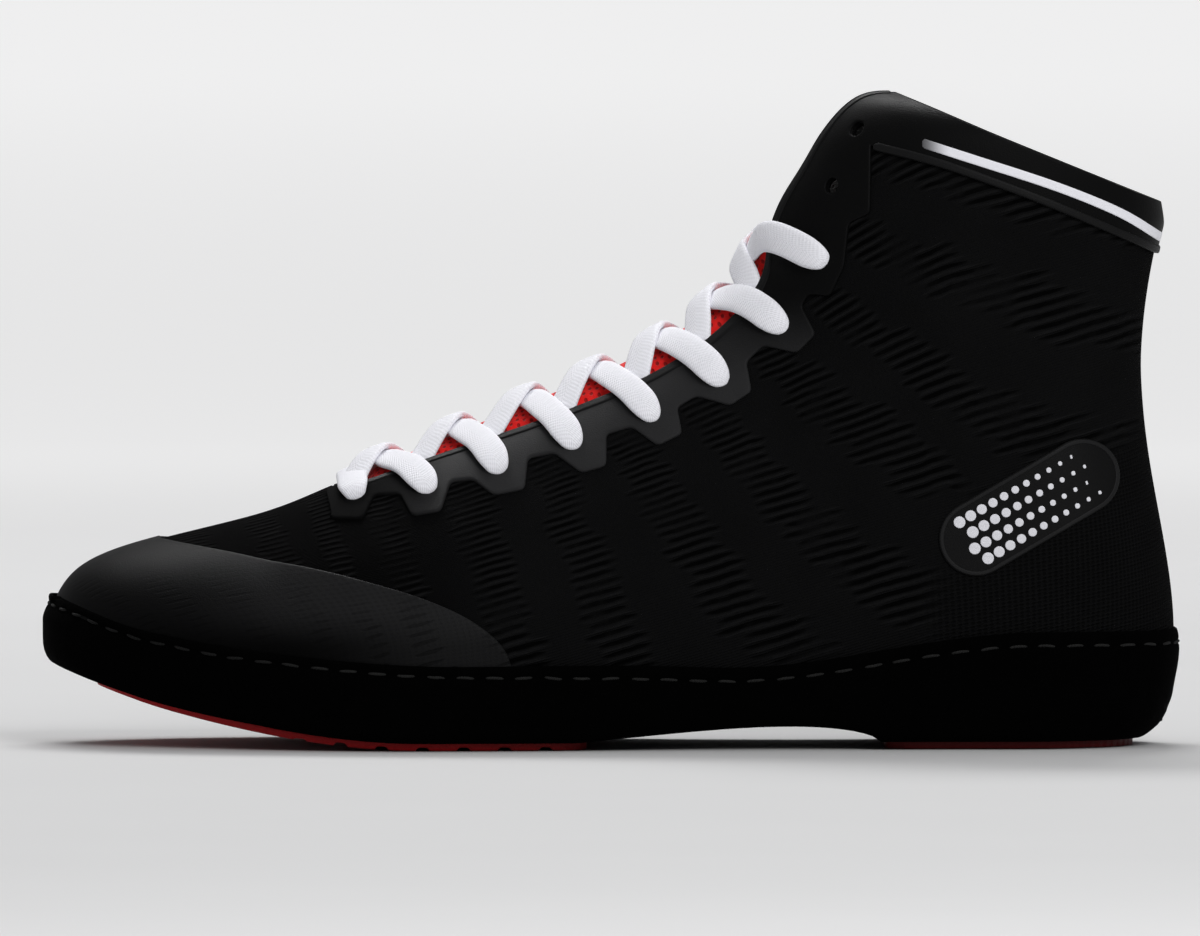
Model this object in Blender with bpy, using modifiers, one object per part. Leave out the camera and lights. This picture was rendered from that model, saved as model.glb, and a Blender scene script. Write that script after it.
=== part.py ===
"""Left high-top ring shoe: a thin upper on a last, a cup sole, a split outsole, a tongue and laces."""
import math
from collections import namedtuple

import bmesh
import bpy
import numpy as np
from mathutils import Vector
from mathutils.bvhtree import BVHTree

# Driving sizes in metres
LENGTH = 0.288
HEIGHT = 0.164
BALL_WIDTH = 0.098
WALL = 0.0020
GAP = 0.0005
CUP_GAP = 0.0009
CENTRE_X = 0.4976 * LENGTH
CENTRE_Y = -0.00017

# Sole sizes in metres
FLOOR = 0.0030
PLATE = 0.0025
PLATE_GAP = 0.0003
TOE_SPRING = 0.021
SPRING_FROM = 0.667 * LENGTH
SPRING_POWER = 1.8
ARCH_RISE = 0.0039
ARCH_FROM = 0.264 * LENGTH
ARCH_TO = 0.528 * LENGTH
ARCH_LEAN = 0.58
CUP_WALL = 0.0022
CUP_EDGE = 0.0015
CUP_LOW = 0.0198
CUP_TOE_RISE = 0.0186
CUP_TOE_FROM = 0.566 * LENGTH
CUP_HEEL_RISE = 0.0096
CUP_HEEL_FROM = 0.417 * LENGTH
CUP_HEEL_TO = 0.122 * LENGTH
HEEL_FAN = 0.118 * LENGTH
TOE_FAN = 0.806 * LENGTH
FAN_STEPS = 11
SIDE_STEPS = 15
PLATE_INSET = 0.0012
GROOVE_DEPTH = 0.0012
GROOVE_SHARE = 0.28
FOREFOOT_LUGS = 12
HEEL_LUGS = 5
FOREFOOT_FROM = 0.520 * LENGTH
FOREFOOT_TO = 0.948 * LENGTH
HEEL_FROM = 0.030 * LENGTH
HEEL_TO = 0.260 * LENGTH
INSOLE = 0.0030
INSOLE_INSET = 0.0011
INSOLE_LIFT = 0.0006

# Upper grid
FOOT_EASE = 0.0012
ROUND_FROM = 0.160 * LENGTH
ROUND_TO = 0.0167 * LENGTH
ROUND_POWER = 2.3
COLUMNS = 8
COLUMN_CROWD = 0.75
THROAT_ROUND = 0.55

# One row per section of the last, toe to collar: x from the heel as a share of LENGTH, z of HEIGHT,
# half widths of BALL_WIDTH, foot_up off the cup's floor; belly is where along the section it is widest,
# crown and base its fullness, cuts its share of the grid
Section = namedtuple(
    "Section",
    "name top_x top_z foot_x foot_up mid lateral medial sole_lat sole_med gap belly crown base cuts",
)
SECTIONS = (
    Section("toe_rim", 0.9885, 0.1616, 0.8681, -0.0122, -0.138, 0.376, 0.257,
            0.369, 0.253, 0.000, 0.97, 2.10, 2.40, 2),
    Section("toe_wall", 0.9872, 0.2043, 0.8542, -0.0122, -0.138, 0.414, 0.284,
            0.402, 0.273, 0.000, 0.90, 2.14, 2.40, 2),
    Section("toe_top", 0.9688, 0.2598, 0.8333, -0.0122, -0.133, 0.455, 0.310,
            0.437, 0.295, 0.000, 0.84, 2.16, 2.40, 2),
    Section("toe_box", 0.9253, 0.2988, 0.8056, -0.0122, -0.117, 0.490, 0.341,
            0.467, 0.320, 0.000, 0.79, 2.12, 2.40, 2),
    Section("toe_crease", 0.8622, 0.3287, 0.7674, -0.0122, -0.102, 0.523, 0.367,
            0.496, 0.343, 0.000, 0.75, 2.02, 2.40, 2),
    Section("vamp", 0.7934, 0.3616, 0.7257, -0.0122, -0.092, 0.545, 0.378,
            0.514, 0.351, 0.000, 0.73, 1.90, 2.40, 2),
    Section("throat_front", 0.7431, 0.3976, 0.6910, -0.0122, -0.082, 0.551, 0.384,
            0.518, 0.353, 0.122, 0.72, 1.78, 2.40, 4),
    Section("ball", 0.6849, 0.4370, 0.6389, -0.0122, -0.071, 0.541, 0.371,
            0.508, 0.340, 0.133, 0.71, 1.66, 2.40, 2),
    Section("waist", 0.6010, 0.4988, 0.5556, -0.0122, -0.061, 0.506, 0.339,
            0.472, 0.302, 0.148, 0.69, 1.62, 2.40, 2),
    Section("arch", 0.5361, 0.5454, 0.4722, -0.0122, -0.051, 0.461, 0.312,
            0.424, 0.267, 0.148, 0.66, 1.64, 2.40, 2),
    Section("instep", 0.4743, 0.5945, 0.3750, -0.0122, -0.041, 0.416, 0.300,
            0.382, 0.253, 0.145, 0.62, 1.70, 2.40, 2),
    Section("ankle", 0.4234, 0.6499, 0.2708, -0.0122, -0.031, 0.382, 0.314,
            0.353, 0.271, 0.138, 0.58, 1.80, 2.40, 2),
    Section("heel_seat", 0.3885, 0.7032, 0.1632, -0.0122, -0.024, 0.369, 0.327,
            0.337, 0.290, 0.129, 0.56, 1.92, 2.45, 3),
    Section("heel_curve", 0.3711, 0.7501, 0.0729, -0.0122, -0.020, 0.363, 0.335,
            0.335, 0.298, 0.120, 0.55, 2.02, 2.50, 5),
    Section("heel_base", 0.3667, 0.7948, 0.0167, 0.0317, -0.016, 0.357, 0.337,
            0.332, 0.300, 0.112, 0.54, 2.08, 2.50, 2),
    Section("heel_back", 0.3561, 0.8418, 0.0069, 0.1872, -0.012, 0.353, 0.337,
            0.332, 0.300, 0.107, 0.53, 2.12, 2.50, 2),
    Section("tendon", 0.3390, 0.8833, 0.0257, 0.3884, -0.008, 0.347, 0.333,
            0.332, 0.300, 0.104, 0.52, 2.16, 2.40, 2),
    Section("ankle_top", 0.3264, 0.9157, 0.0337, 0.5774, -0.004, 0.335, 0.324,
            0.332, 0.300, 0.102, 0.51, 2.18, 2.30, 2),
    Section("cuff", 0.3124, 0.9508, 0.0219, 0.7268, 0.000, 0.324, 0.318,
            0.332, 0.300, 0.100, 0.50, 2.20, 2.25, 2),
    Section("rim", 0.2859, 0.9941, 0.0170, 0.7652, 0.000, 0.320, 0.314,
            0.332, 0.300, 0.098, 0.50, 2.20, 2.20, 2),
    Section("collar", 0.2532, 1.0016, 0.0194, 0.7957, 0.000, 0.316, 0.310,
            0.332, 0.300, 0.096, 0.50, 2.20, 2.20, 0),
)
ROW = {row.name: index for index, row in enumerate(SECTIONS)}
UNITS = {"top_x": LENGTH, "foot_x": LENGTH, "top_z": HEIGHT, "foot_up": HEIGHT}
UNITS.update({"belly": 1, "crown": 1, "base": 1})


def spline(values):
    """Knots of a natural cubic through evenly spaced values, with its second derivatives."""
    count = len(values)
    system = np.eye(count)
    target = np.zeros(count)
    for i in range(1, count - 1):
        system[i, i - 1:i + 2] = (1.0, 4.0, 1.0)
        target[i] = 6.0 * (values[i + 1] - 2.0 * values[i] + values[i - 1])
    return list(values), list(np.linalg.solve(system, target))


CURVES = {
    column: spline([getattr(row, column) * UNITS.get(column, BALL_WIDTH) for row in SECTIONS])
    for column in Section._fields[1:-1]
}


def along(column, s):
    """One column of the section table, read smoothly between its rows."""
    knots, bends = CURVES[column]
    i = min(max(int(math.floor(s)), 0), len(knots) - 2)
    u = s - i
    v = 1.0 - u
    bend = (v ** 3 - v) * bends[i] + (u ** 3 - u) * bends[i + 1]
    return v * knots[i] + u * knots[i + 1] + bend / 6.0


def half_width(s, side):
    return along("lateral" if side > 0 else "medial", s)


def last_angle(s, side):
    """Angle of the section's lower end: the feather line, closing round the heel to the back seam."""
    if s >= ROW["heel_base"]:
        return math.pi
    feather = along("sole_lat" if side > 0 else "sole_med", s)
    foot = along("foot_x", s)
    if foot < ROUND_FROM:
        share = min((ROUND_FROM - foot) / (ROUND_FROM - ROUND_TO), 1.0)
        feather *= (1.0 - share ** ROUND_POWER) ** (1.0 / ROUND_POWER)
    share = min(feather / half_width(s, side), 0.985)
    return math.pi - math.asin(share ** (along("base", s) / 2))


def foot_height(s):
    """Height of a section's lower end: just off the cup's floor, then up the back seam."""
    rise = along("foot_up", s)
    rise = (rise + math.sqrt(rise * rise + FOOT_EASE * FOOT_EASE)) / 2
    return under_at(along("foot_x", s) - CENTRE_X) + FLOOR + GAP + rise


def gap_at(s):
    """Half width of the open throat, rounded at its front end."""
    ahead = min(max((s - ROW["throat_front"]) / THROAT_ROUND, 0.0), 1.0)
    return along("gap", s) * math.sqrt(1.0 - (1.0 - ahead) ** 2)


def angle_at(s, side, y):
    """Angle on the crown of a section where its half width is y."""
    return math.asin(min(y / half_width(s, side), 1.0) ** (along("crown", s) / 2))


def throat_angle(s, side):
    gap = gap_at(s)
    return angle_at(s, side, gap) if gap > 0.0 else 0.0


def skin(s, angle, side):
    """Point of the last's surface on section s, from the crest (0) round to the lower end."""
    belly = along("belly", s)
    if angle <= math.pi / 2:
        power = 2.0 / along("crown", s)
        share = belly * (1.0 - max(math.cos(angle), 0.0) ** power)
    else:
        power = 2.0 / along("base", s)
        end = max(-math.cos(last_angle(s, side)), 1e-6)
        share = belly + (1.0 - belly) * (-math.cos(angle) / end) ** power
    y = half_width(s, side) * max(math.sin(angle), 0.0) ** power
    x = along("top_x", s) * (1.0 - share) + along("foot_x", s) * share
    z = along("top_z", s) * (1.0 - share) + foot_height(s) * share
    return Vector((x - CENTRE_X, along("mid", s) + side * y - CENTRE_Y, z))


def lifted(s, angle, side, lift):
    """Point off the last's surface along its outward normal."""
    limit = last_angle(s, side)
    low = min(max(angle - 0.02, 0.02), limit - 0.06)
    high = low + 0.04
    back = max(s - 0.02, 0.0)
    ahead = min(back + 0.04, len(SECTIONS) - 1.0)
    middle = (low + high) / 2
    down = skin(s, high, side) - skin(s, low, side)
    run = skin(ahead, middle, side) - skin(back, middle, side)
    normal = down.cross(run) * side
    if angle < 0.02 or (angle > math.pi - 0.02):
        normal.y = 0.0
    return skin(s, angle, side) + normal.normalized() * lift


def rows_between(first, final):
    """Values of s between two named rows, with each row's own number of cuts."""
    values = []
    for row in SECTIONS[ROW[first]:ROW[final]]:
        values += [ROW[row.name] + k / row.cuts for k in range(row.cuts)]
    return values + [float(ROW[final])]


# Scene helpers
def collection(name):
    group = bpy.data.collections.new(name)
    bpy.context.scene.collection.children.link(group)
    return group


def material(name, colour, roughness):
    surface = bpy.data.materials.new(name)
    surface.use_nodes = True
    shader = surface.node_tree.nodes["Principled BSDF"]
    shader.inputs["Base Color"].default_value = (*colour, 1.0)
    shader.inputs["Roughness"].default_value = roughness
    return surface


def add_mesh(name, points, faces, surface):
    """Object from a loft's points and faces, with coincident points joined."""
    mesh = bpy.data.meshes.new(name)
    work = bmesh.new()
    verts = [work.verts.new(point) for point in points]
    for face in faces:
        work.faces.new([verts[index] for index in face])
    bmesh.ops.remove_doubles(work, verts=work.verts, dist=0.00001)
    bmesh.ops.dissolve_degenerate(work, edges=work.edges, dist=0.00001)
    work.to_mesh(mesh)
    work.free()
    piece = bpy.data.objects.new(name, mesh)
    mesh.materials.append(surface)
    PARTS.objects.link(piece)
    return piece


def thicken(piece, depth, offset):
    """Wall of the given depth on a sheet: inward for offset -1, outward for 1."""
    wall = piece.modifiers.new("Wall", "SOLIDIFY")
    wall.thickness = depth
    wall.offset = offset
    wall.use_even_offset = True
    wall.use_quality_normals = True
    return wall


def apply_modifiers(piece):
    """Swap a piece's mesh for its evaluated one."""
    graph = bpy.context.evaluated_depsgraph_get()
    mesh = bpy.data.meshes.new_from_object(piece.evaluated_get(graph))
    piece.modifiers.clear()
    piece.data = mesh


def face_out(piece):
    work = bmesh.new()
    work.from_mesh(piece.data)
    bmesh.ops.recalc_face_normals(work, faces=work.faces)
    work.to_mesh(piece.data)
    work.free()


def crowded(share):
    """Even steps drawn closer together towards both ends."""
    return (1.0 - COLUMN_CROWD) * share + COLUMN_CROWD * (1.0 - math.cos(math.pi * share)) / 2


def sheet_grid(rows, lift, sides=(1, -1), used=COLUMNS):
    """Points and faces of a sheet on the last, from the throat edge down through some of its columns."""
    points = []
    faces = []
    for side in sides:
        base = len(points)
        for s in rows:
            low = throat_angle(s, side)
            high = last_angle(s, side)
            for j in range(used + 1):
                points.append(lifted(s, low + (high - low) * crowded(j / COLUMNS), side, lift))
        for i in range(len(rows) - 1):
            for j in range(used):
                a = base + i * (used + 1) + j
                for triangle in ((a, a + 1, a + used + 2), (a, a + used + 2, a + used + 1)):
                    faces.append(triangle if side > 0 else triangle[::-1])
    return points, faces


def tree_of(piece):
    graph = bpy.context.evaluated_depsgraph_get()
    return BVHTree.FromObject(piece.evaluated_get(graph), graph)


# Upper
def make_upper(surface):
    points, faces = sheet_grid(rows_between("toe_rim", "collar"), 0.0)
    piece = add_mesh("upper", points, faces, surface)
    outside = tree_of(piece)
    thicken(piece, WALL, -1.0)
    apply_modifiers(piece)
    return piece, outside


# Sole
def from_heel(x):
    return x + CENTRE_X


def spring_at(x):
    ahead = max(from_heel(x) - SPRING_FROM, 0.0) / (LENGTH - SPRING_FROM)
    return TOE_SPRING * ahead ** SPRING_POWER


def under_at(x):
    """Underside of the cup: level at heel and ball, raised at the arch and the toe."""
    share = min(max((from_heel(x) - ARCH_FROM) / (ARCH_TO - ARCH_FROM), 0.0), 1.0)
    arch = ARCH_RISE * math.sin(math.pi * share ** ARCH_LEAN)
    return PLATE + PLATE_GAP + spring_at(x) + max(arch, 0.0)


def cup_top_at(x):
    ahead = max(from_heel(x) - CUP_TOE_FROM, 0.0) / (LENGTH - CUP_TOE_FROM)
    behind = min(max((CUP_HEEL_FROM - from_heel(x)) / (CUP_HEEL_FROM - CUP_HEEL_TO), 0.0), 1.0)
    heel = behind * behind * (3.0 - 2.0 * behind)
    return CUP_LOW + CUP_TOE_RISE * ahead ** 3.2 + CUP_HEEL_RISE * heel


Ray = namedtuple("Ray", "origin way")


def ribs():
    """Pairs of level rays, lateral and medial, from the heel tip round to the toe tip."""
    pairs = []
    heel = HEEL_FAN - CENTRE_X
    toe = TOE_FAN - CENTRE_X
    spots = [(heel, -math.cos(k * math.pi / 2 / FAN_STEPS), -0.001) for k in range(FAN_STEPS)]
    for k in range(SIDE_STEPS):
        spots.append((heel + (toe - heel) * k / SIDE_STEPS, 0.0, -0.001 - 0.005 * k / SIDE_STEPS))
    spots += [(toe, math.sin(k * math.pi / 2 / FAN_STEPS), -0.006) for k in range(FAN_STEPS + 1)]
    for x, lean, y in spots:
        across = math.sqrt(max(1.0 - lean * lean, 0.0))
        pairs.append([Ray(Vector((x, y, 0.0)), Vector((lean, side * across, 0.0))) for side in (1, -1)])
    return pairs


def reach(tree, ray, z):
    """Level distance from a ray's origin to a surface, looking a little higher where it has no wall."""
    for step in range(40):
        hit = tree.ray_cast(Vector((ray.origin.x, ray.origin.y, z + step * 0.0005)), ray.way)
        if hit[0] is not None:
            return hit[3]
    raise ValueError("no wall on a sole ray")


def spot(ray, distance, z):
    return Vector((ray.origin.x, ray.origin.y, z)) + ray.way * distance


def cup_profile(tree, ray):
    """Points of the cup's wall on one ray, from the floor up the inside and down the outside."""
    x = ray.origin.x + ray.way.x * reach(tree, ray, 0.022)
    for _ in range(3):
        under = under_at(x)
        x = ray.origin.x + ray.way.x * (reach(tree, ray, under + FLOOR + 0.001) + CUP_GAP)
    floor = under + FLOOR
    top_x = ray.origin.x + ray.way.x * reach(tree, ray, cup_top_at(x))
    top = cup_top_at(top_x)
    inside = [floor + (top - floor) * k / 4 for k in range(5)]
    low = max(reach(tree, ray, floor + 0.001 * k) for k in range(4)) + CUP_GAP
    profile = [spot(ray, max(low, reach(tree, ray, z) + CUP_GAP), z) for z in inside[:2]]
    profile += [spot(ray, reach(tree, ray, z) + CUP_GAP, z) for z in inside[2:]]
    middle = floor + (top - floor) * 0.45
    profile.append(spot(ray, reach(tree, ray, top) + CUP_GAP + CUP_EDGE, top - 0.0003))
    shoulder = floor + (top - floor) * 0.75
    profile.append(spot(ray, reach(tree, ray, shoulder) + CUP_GAP + CUP_WALL, shoulder))
    profile.append(spot(ray, reach(tree, ray, middle) + CUP_GAP + CUP_WALL, middle))
    profile.append(spot(ray, low + CUP_WALL, floor + 0.0008))
    profile.append(spot(ray, low + CUP_WALL * 0.55, under + 0.0009))
    profile.append(spot(ray, low - 0.0008, under))
    return profile


def make_cup(tree, surface):
    """Cup sole: a ring of wall profiles closed by ladder strips for its floor and underside."""
    pairs = ribs()
    profiles = [[cup_profile(tree, ray) for ray in pair] for pair in pairs]
    count = len(profiles[0][0])
    points = [point for pair in profiles for profile in pair for point in profile]
    faces = []
    for i in range(len(profiles) - 1):
        for k in (0, 1):
            a = (2 * i + k) * count
            b = a + 2 * count
            for j in range(count - 1):
                faces.append((a + j, a + j + 1, b + j + 1, b + j))
        for j in (0, count - 1):
            a = 2 * i * count + j
            faces.append((a, a + count, a + 3 * count, a + 2 * count))
    piece = add_mesh("sole_cup", points, faces, surface)
    face_out(piece)
    return piece, [[pair[k][-1] for pair in profiles] for k in (0, 1)]


def edge_at(line, x):
    """Point on a cup edge, a line of points from heel to toe, at a given x."""
    for a, b in zip(line[:-1], line[1:]):
        if a.x <= x <= b.x:
            return a.lerp(b, (x - a.x) / max(b.x - a.x, 1e-9))
    raise ValueError("no cup edge there")


def make_plate(name, edges, start, stop, lugs, surface):
    """Outsole plate under the cup between two lengths, its underside stepped into cross lugs."""
    pitch = (stop - start) / lugs
    rows = [(start, 0.0)]
    for k in range(1, lugs):
        middle = start + k * pitch
        half = pitch * GROOVE_SHARE / 2
        rows += [(middle - half, 0.0), (middle - half, GROOVE_DEPTH)]
        rows += [(middle + half, GROOVE_DEPTH), (middle + half, 0.0)]
    rows.append((stop, 0.0))
    points = []
    for x, depth in rows:
        left, right = (edge_at(line, x - CENTRE_X) for line in edges)
        run = (right - left).normalized() * PLATE_INSET
        for drop in (PLATE_GAP, PLATE_GAP + PLATE - depth):
            points += [left + run - Vector((0.0, 0.0, drop)), right - run - Vector((0.0, 0.0, drop))]
    faces = [(0, 1, 3, 2)]
    for i in range(len(rows) - 1):
        a = 4 * i
        for j, k in ((0, 1), (1, 3), (3, 2), (2, 0)):
            faces.append((a + j, a + k, a + 4 + k, a + 4 + j))
    a = 4 * (len(rows) - 1)
    faces.append((a, a + 1, a + 3, a + 2))
    piece = add_mesh(name, points, faces, surface)
    face_out(piece)
    return piece


def make_insole(tree, surface):
    """Footbed inside the upper, clear of its wall and of the cup's floor."""
    points = []
    pairs = ribs()
    for pair in pairs:
        for ray in pair:
            x = ray.origin.x + ray.way.x * 0.03
            for _ in range(3):
                low = under_at(x) + FLOOR + INSOLE_LIFT
                near = min(reach(tree, ray, low + share * INSOLE) for share in (0.0, 0.5, 1.0))
                x = ray.origin.x + ray.way.x * (near - GAP)
            points += [spot(ray, near - INSOLE_INSET, low), spot(ray, near - INSOLE_INSET, low + INSOLE)]
    faces = []
    for i in range(len(pairs) - 1):
        a = 4 * i
        for j, k in ((0, 1), (1, 3), (3, 2), (2, 0)):
            faces.append((a + j, a + k, a + 4 + k, a + 4 + j))
    piece = add_mesh("insole", points, faces, surface)
    face_out(piece)
    return piece


# Tongue
TONGUE = 0.0028
TONGUE_HALF = 0.025
TONGUE_DROP = 0.0003
TONGUE_COLUMNS = 4
TONGUE_ROWS = 20
TONGUE_FROM = 5.4
TONGUE_TO = 17.6
TONGUE_SINK = 0.0030
TONGUE_TUCK = 0.0006
TONGUE_DIP = 0.0016


def tongue_lift(s, y):
    """Depth of the tongue's face below the last: proud in the throat, tucked under its edges."""
    inside = min(max((gap_at(s) - 0.0012 - y) / 0.004, 0.0), 1.0)
    behind = min(max((s - ROW["throat_front"] - 0.3) / 0.5, 0.0), 1.0)
    inside *= behind
    ease = inside * inside * (3.0 - 2.0 * inside)
    tucked = WALL + GAP + TONGUE_TUCK + TONGUE_DIP * max(1.0 - abs(s - ROW["throat_front"] - 0.1) / 0.8, 0.0)
    sink = min(max((s - ROW["heel_seat"]) / 2, 0.0), 1.0)
    return -(tucked + (TONGUE_DROP - tucked) * ease + TONGUE_SINK * sink)


def make_tongue(surface):
    rows = [TONGUE_FROM + (TONGUE_TO - TONGUE_FROM) * k / TONGUE_ROWS for k in range(TONGUE_ROWS + 1)]
    points = []
    faces = []
    width = 2 * TONGUE_COLUMNS + 1
    for i, s in enumerate(rows):
        half = TONGUE_HALF * (0.8 + 0.2 * min(i / 5, 1.0))
        for j in range(-TONGUE_COLUMNS, TONGUE_COLUMNS + 1):
            side = 1 if j >= 0 else -1
            y = half * abs(j) / TONGUE_COLUMNS
            points.append(lifted(s, angle_at(s, side, y), side, tongue_lift(s, y)))
    for i in range(len(rows) - 1):
        for j in range(width - 1):
            a = i * width + j
            faces.append((a, a + 1, a + width + 1, a + width))
    piece = add_mesh("tongue", points, faces, surface)
    thicken(piece, TONGUE, -1.0)
    apply_modifiers(piece)
    return piece


# Overlays: shells just off the upper, cut to their outline by a prism across the shoe
OVERLAY = 0.0008
OVERLAY_GAP = 0.0004
CAP_ABOVE_CUP = 0.0006
STAY_COLUMNS = 4
LIP = 0.06
MM = LENGTH / 288

# Cap edge from the vamp down to the cup: x from the heel and z, in millimetres of the last
Edge = namedtuple("Edge", "x z")
CAP_EDGE = (
    Edge(257.0, 62.0),
    Edge(257.0, 50.7),
    Edge(232.6, 47.8),
    Edge(206.4, 42.4),
    Edge(189.0, 37.6),
    Edge(180.3, 34.1),
    Edge(171.5, 28.5),
    Edge(167.0, 21.0),
)

# Teeth of the eyestay from toe to collar: its low edge, then the notch behind it
Tooth = namedtuple("Tooth", "front_x front_z back_x back_z notch_x notch_z notch_back_x notch_back_z")
TEETH = (
    Tooth(213.9, 57.2, 206.0, 57.2, 203.2, 63.0, 196.6, 63.5),
    Tooth(193.6, 58.2, 186.3, 59.5, 184.0, 66.6, 178.4, 67.3),
    Tooth(173.1, 63.5, 165.3, 65.0, 164.5, 72.6, 157.9, 73.9),
    Tooth(151.1, 69.1, 144.8, 70.9, 144.8, 78.7, 138.4, 80.5),
    Tooth(131.9, 75.9, 125.8, 79.2, 127.0, 85.5, 122.2, 88.3),
    Tooth(113.6, 86.0, 108.3, 89.6, 109.6, 96.9, 105.3, 101.0),
    Tooth(96.9, 99.2, 92.1, 104.0, 95.7, 111.0, 93.8, 114.0),
)
FLAP_EDGE = (
    Edge(88.6, 113.5),
    Edge(85.0, 121.0),
    Edge(83.8, 131.9),
    Edge(78.5, 134.4),
    Edge(78.2, 151.6),
)
FLAP_TOP = Edge(71.0, 168.5)
STAY_ABOVE = (Edge(71.0, 185.0), Edge(120.0, 160.0), Edge(180.0, 105.0), Edge(216.5, 80.0), Edge(216.5, 61.0))

# Punched lace holes on the lateral side, toe to collar; the last two are left unlaced
EYELETS = (
    Edge(208.0, 63.4),
    Edge(190.6, 65.2),
    Edge(172.9, 70.4),
    Edge(153.9, 76.7),
    Edge(134.1, 84.0),
    Edge(116.9, 93.1),
    Edge(101.7, 106.5),
    Edge(91.6, 123.5),
    Edge(87.8, 141.2),
    Edge(81.5, 155.4),
)
LACED = 8
EYELET_RADIUS = 0.0021
EYELET_SIDES = 6
LACE = 0.0016
LACE_WIDTH = 0.0062
LACE_LIFT = 0.0017
LACE_LOW = 0.0004
LACE_STEPS = 5
LACE_OVER = 0.0008
LACE_START = 0.44


def prism(name, outline):
    """Cutter through the shoe with a side-view outline of heel distances and heights."""
    count = len(outline)
    mesh = bpy.data.meshes.new(name)
    work = bmesh.new()
    ends = []
    for y in (-BALL_WIDTH, BALL_WIDTH):
        ends.append([work.verts.new((edge.x * MM - CENTRE_X, y, edge.z * MM)) for edge in outline])
    work.faces.new(ends[0])
    work.faces.new(ends[1])
    for i in range(count):
        k = (i + 1) % count
        work.faces.new((ends[0][i], ends[0][k], ends[1][k], ends[1][i]))
    bmesh.ops.recalc_face_normals(work, faces=work.faces)
    work.to_mesh(mesh)
    work.free()
    return add_cutter(name, mesh)


def add_cutter(name, mesh):
    cutter = bpy.data.objects.new(name, mesh)
    CUTTERS.objects.link(cutter)
    cutter.hide_render = True
    cutter.display_type = "WIRE"
    return cutter


def cut(piece, cutter, operation):
    knife = piece.modifiers.new("Cut", "BOOLEAN")
    knife.operation = operation
    knife.solver = "EXACT"
    knife.object = cutter


def make_overlay(name, rows, sides, used, outline, surface):
    points, faces = sheet_grid(rows, OVERLAY_GAP, sides, used)
    piece = add_mesh(name, points, faces, surface)
    thicken(piece, OVERLAY, 1.0)
    cut(piece, prism(name + "_outline", outline), "INTERSECT")
    return piece


def cap_outline():
    """Toe cap in side view: its edge, then forward along the cup's top."""
    low = []
    for k in range(15):
        x = CAP_EDGE[-1].x + (294.0 - CAP_EDGE[-1].x) * k / 14
        low.append(Edge(x, (cup_top_at(x * MM - CENTRE_X) + CAP_ABOVE_CUP) / MM))
    return list(CAP_EDGE[:-1]) + low + [Edge(294.0, 62.0)]


def stay_outline():
    """Eyestay in side view: toothed below, reaching past the throat edge and up the flap."""
    low = []
    for tooth in TEETH:
        low += [
            Edge(tooth.front_x, tooth.front_z),
            Edge(tooth.back_x, tooth.back_z),
            Edge(tooth.notch_x, tooth.notch_z),
            Edge(tooth.notch_back_x, tooth.notch_back_z),
        ]
    return low + list(FLAP_EDGE) + [FLAP_TOP] + list(STAY_ABOVE)


def cuff_outline():
    """Cuff in side view: all of the collar band behind the flap."""
    front = FLAP_EDGE[-1]
    shift = 2 * OVERLAY_GAP / MM
    return [
        Edge(front.x - shift, front.z - 12.0),
        Edge(front.x - shift, front.z),
        Edge(FLAP_TOP.x - shift, FLAP_TOP.z),
        Edge(-20.0, FLAP_TOP.z),
        Edge(-20.0, front.z - 60.0),
    ]


def locate(edge, side):
    """Section and angle of the surface point seen from the side at a heel distance and height."""
    x = edge.x * MM
    z = edge.z * MM

    def off(s):
        run_x = along("foot_x", s) - along("top_x", s)
        run_z = foot_height(s) - along("top_z", s)
        return (x - along("top_x", s)) * run_z - (z - along("top_z", s)) * run_x

    low = 0.0
    high = len(SECTIONS) - 1.0
    for _ in range(50):
        s = (low + high) / 2
        if off(low) * off(s) <= 0.0:
            high = s
        else:
            low = s
    run_x = along("foot_x", s) - along("top_x", s)
    run_z = foot_height(s) - along("top_z", s)
    share = ((x - along("top_x", s)) * run_x + (z - along("top_z", s)) * run_z) / (run_x ** 2 + run_z ** 2)
    angle = math.acos(max(1.0 - share / along("belly", s), 0.0) ** (along("crown", s) / 2))
    return s, angle


def eyelet_spots():
    """Section and half width of every lace hole, the same on both sides."""
    spots = []
    for edge in EYELETS:
        s, angle = locate(edge, 1)
        spots.append((s, skin(s, angle, 1).y - along("mid", s) + CENTRE_Y))
    return spots


def make_punch(spots):
    """One cutter of pegs standing square to the upper at every lace hole."""
    mesh = bpy.data.meshes.new("eyelet_punch")
    work = bmesh.new()
    for s, y in spots:
        for side in (1, -1):
            angle = angle_at(s, side, y)
            foot = lifted(s, angle, side, -0.0045)
            head = lifted(s, angle, side, 0.0035)
            turn = (head - foot).to_track_quat("Z", "Y").to_matrix().to_4x4()
            turn.translation = (head + foot) / 2
            bmesh.ops.create_cone(
                work,
                cap_ends=True,
                segments=EYELET_SIDES,
                radius1=EYELET_RADIUS,
                radius2=EYELET_RADIUS,
                depth=(head - foot).length,
                matrix=turn,
            )
    work.to_mesh(mesh)
    work.free()
    return add_cutter("eyelet_punch", mesh)


def on_throat(s, y, lift):
    """Point over the throat at a signed half width."""
    side = 1 if y >= 0.0 else -1
    return lifted(s, angle_at(s, side, abs(y)), side, lift)


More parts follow.
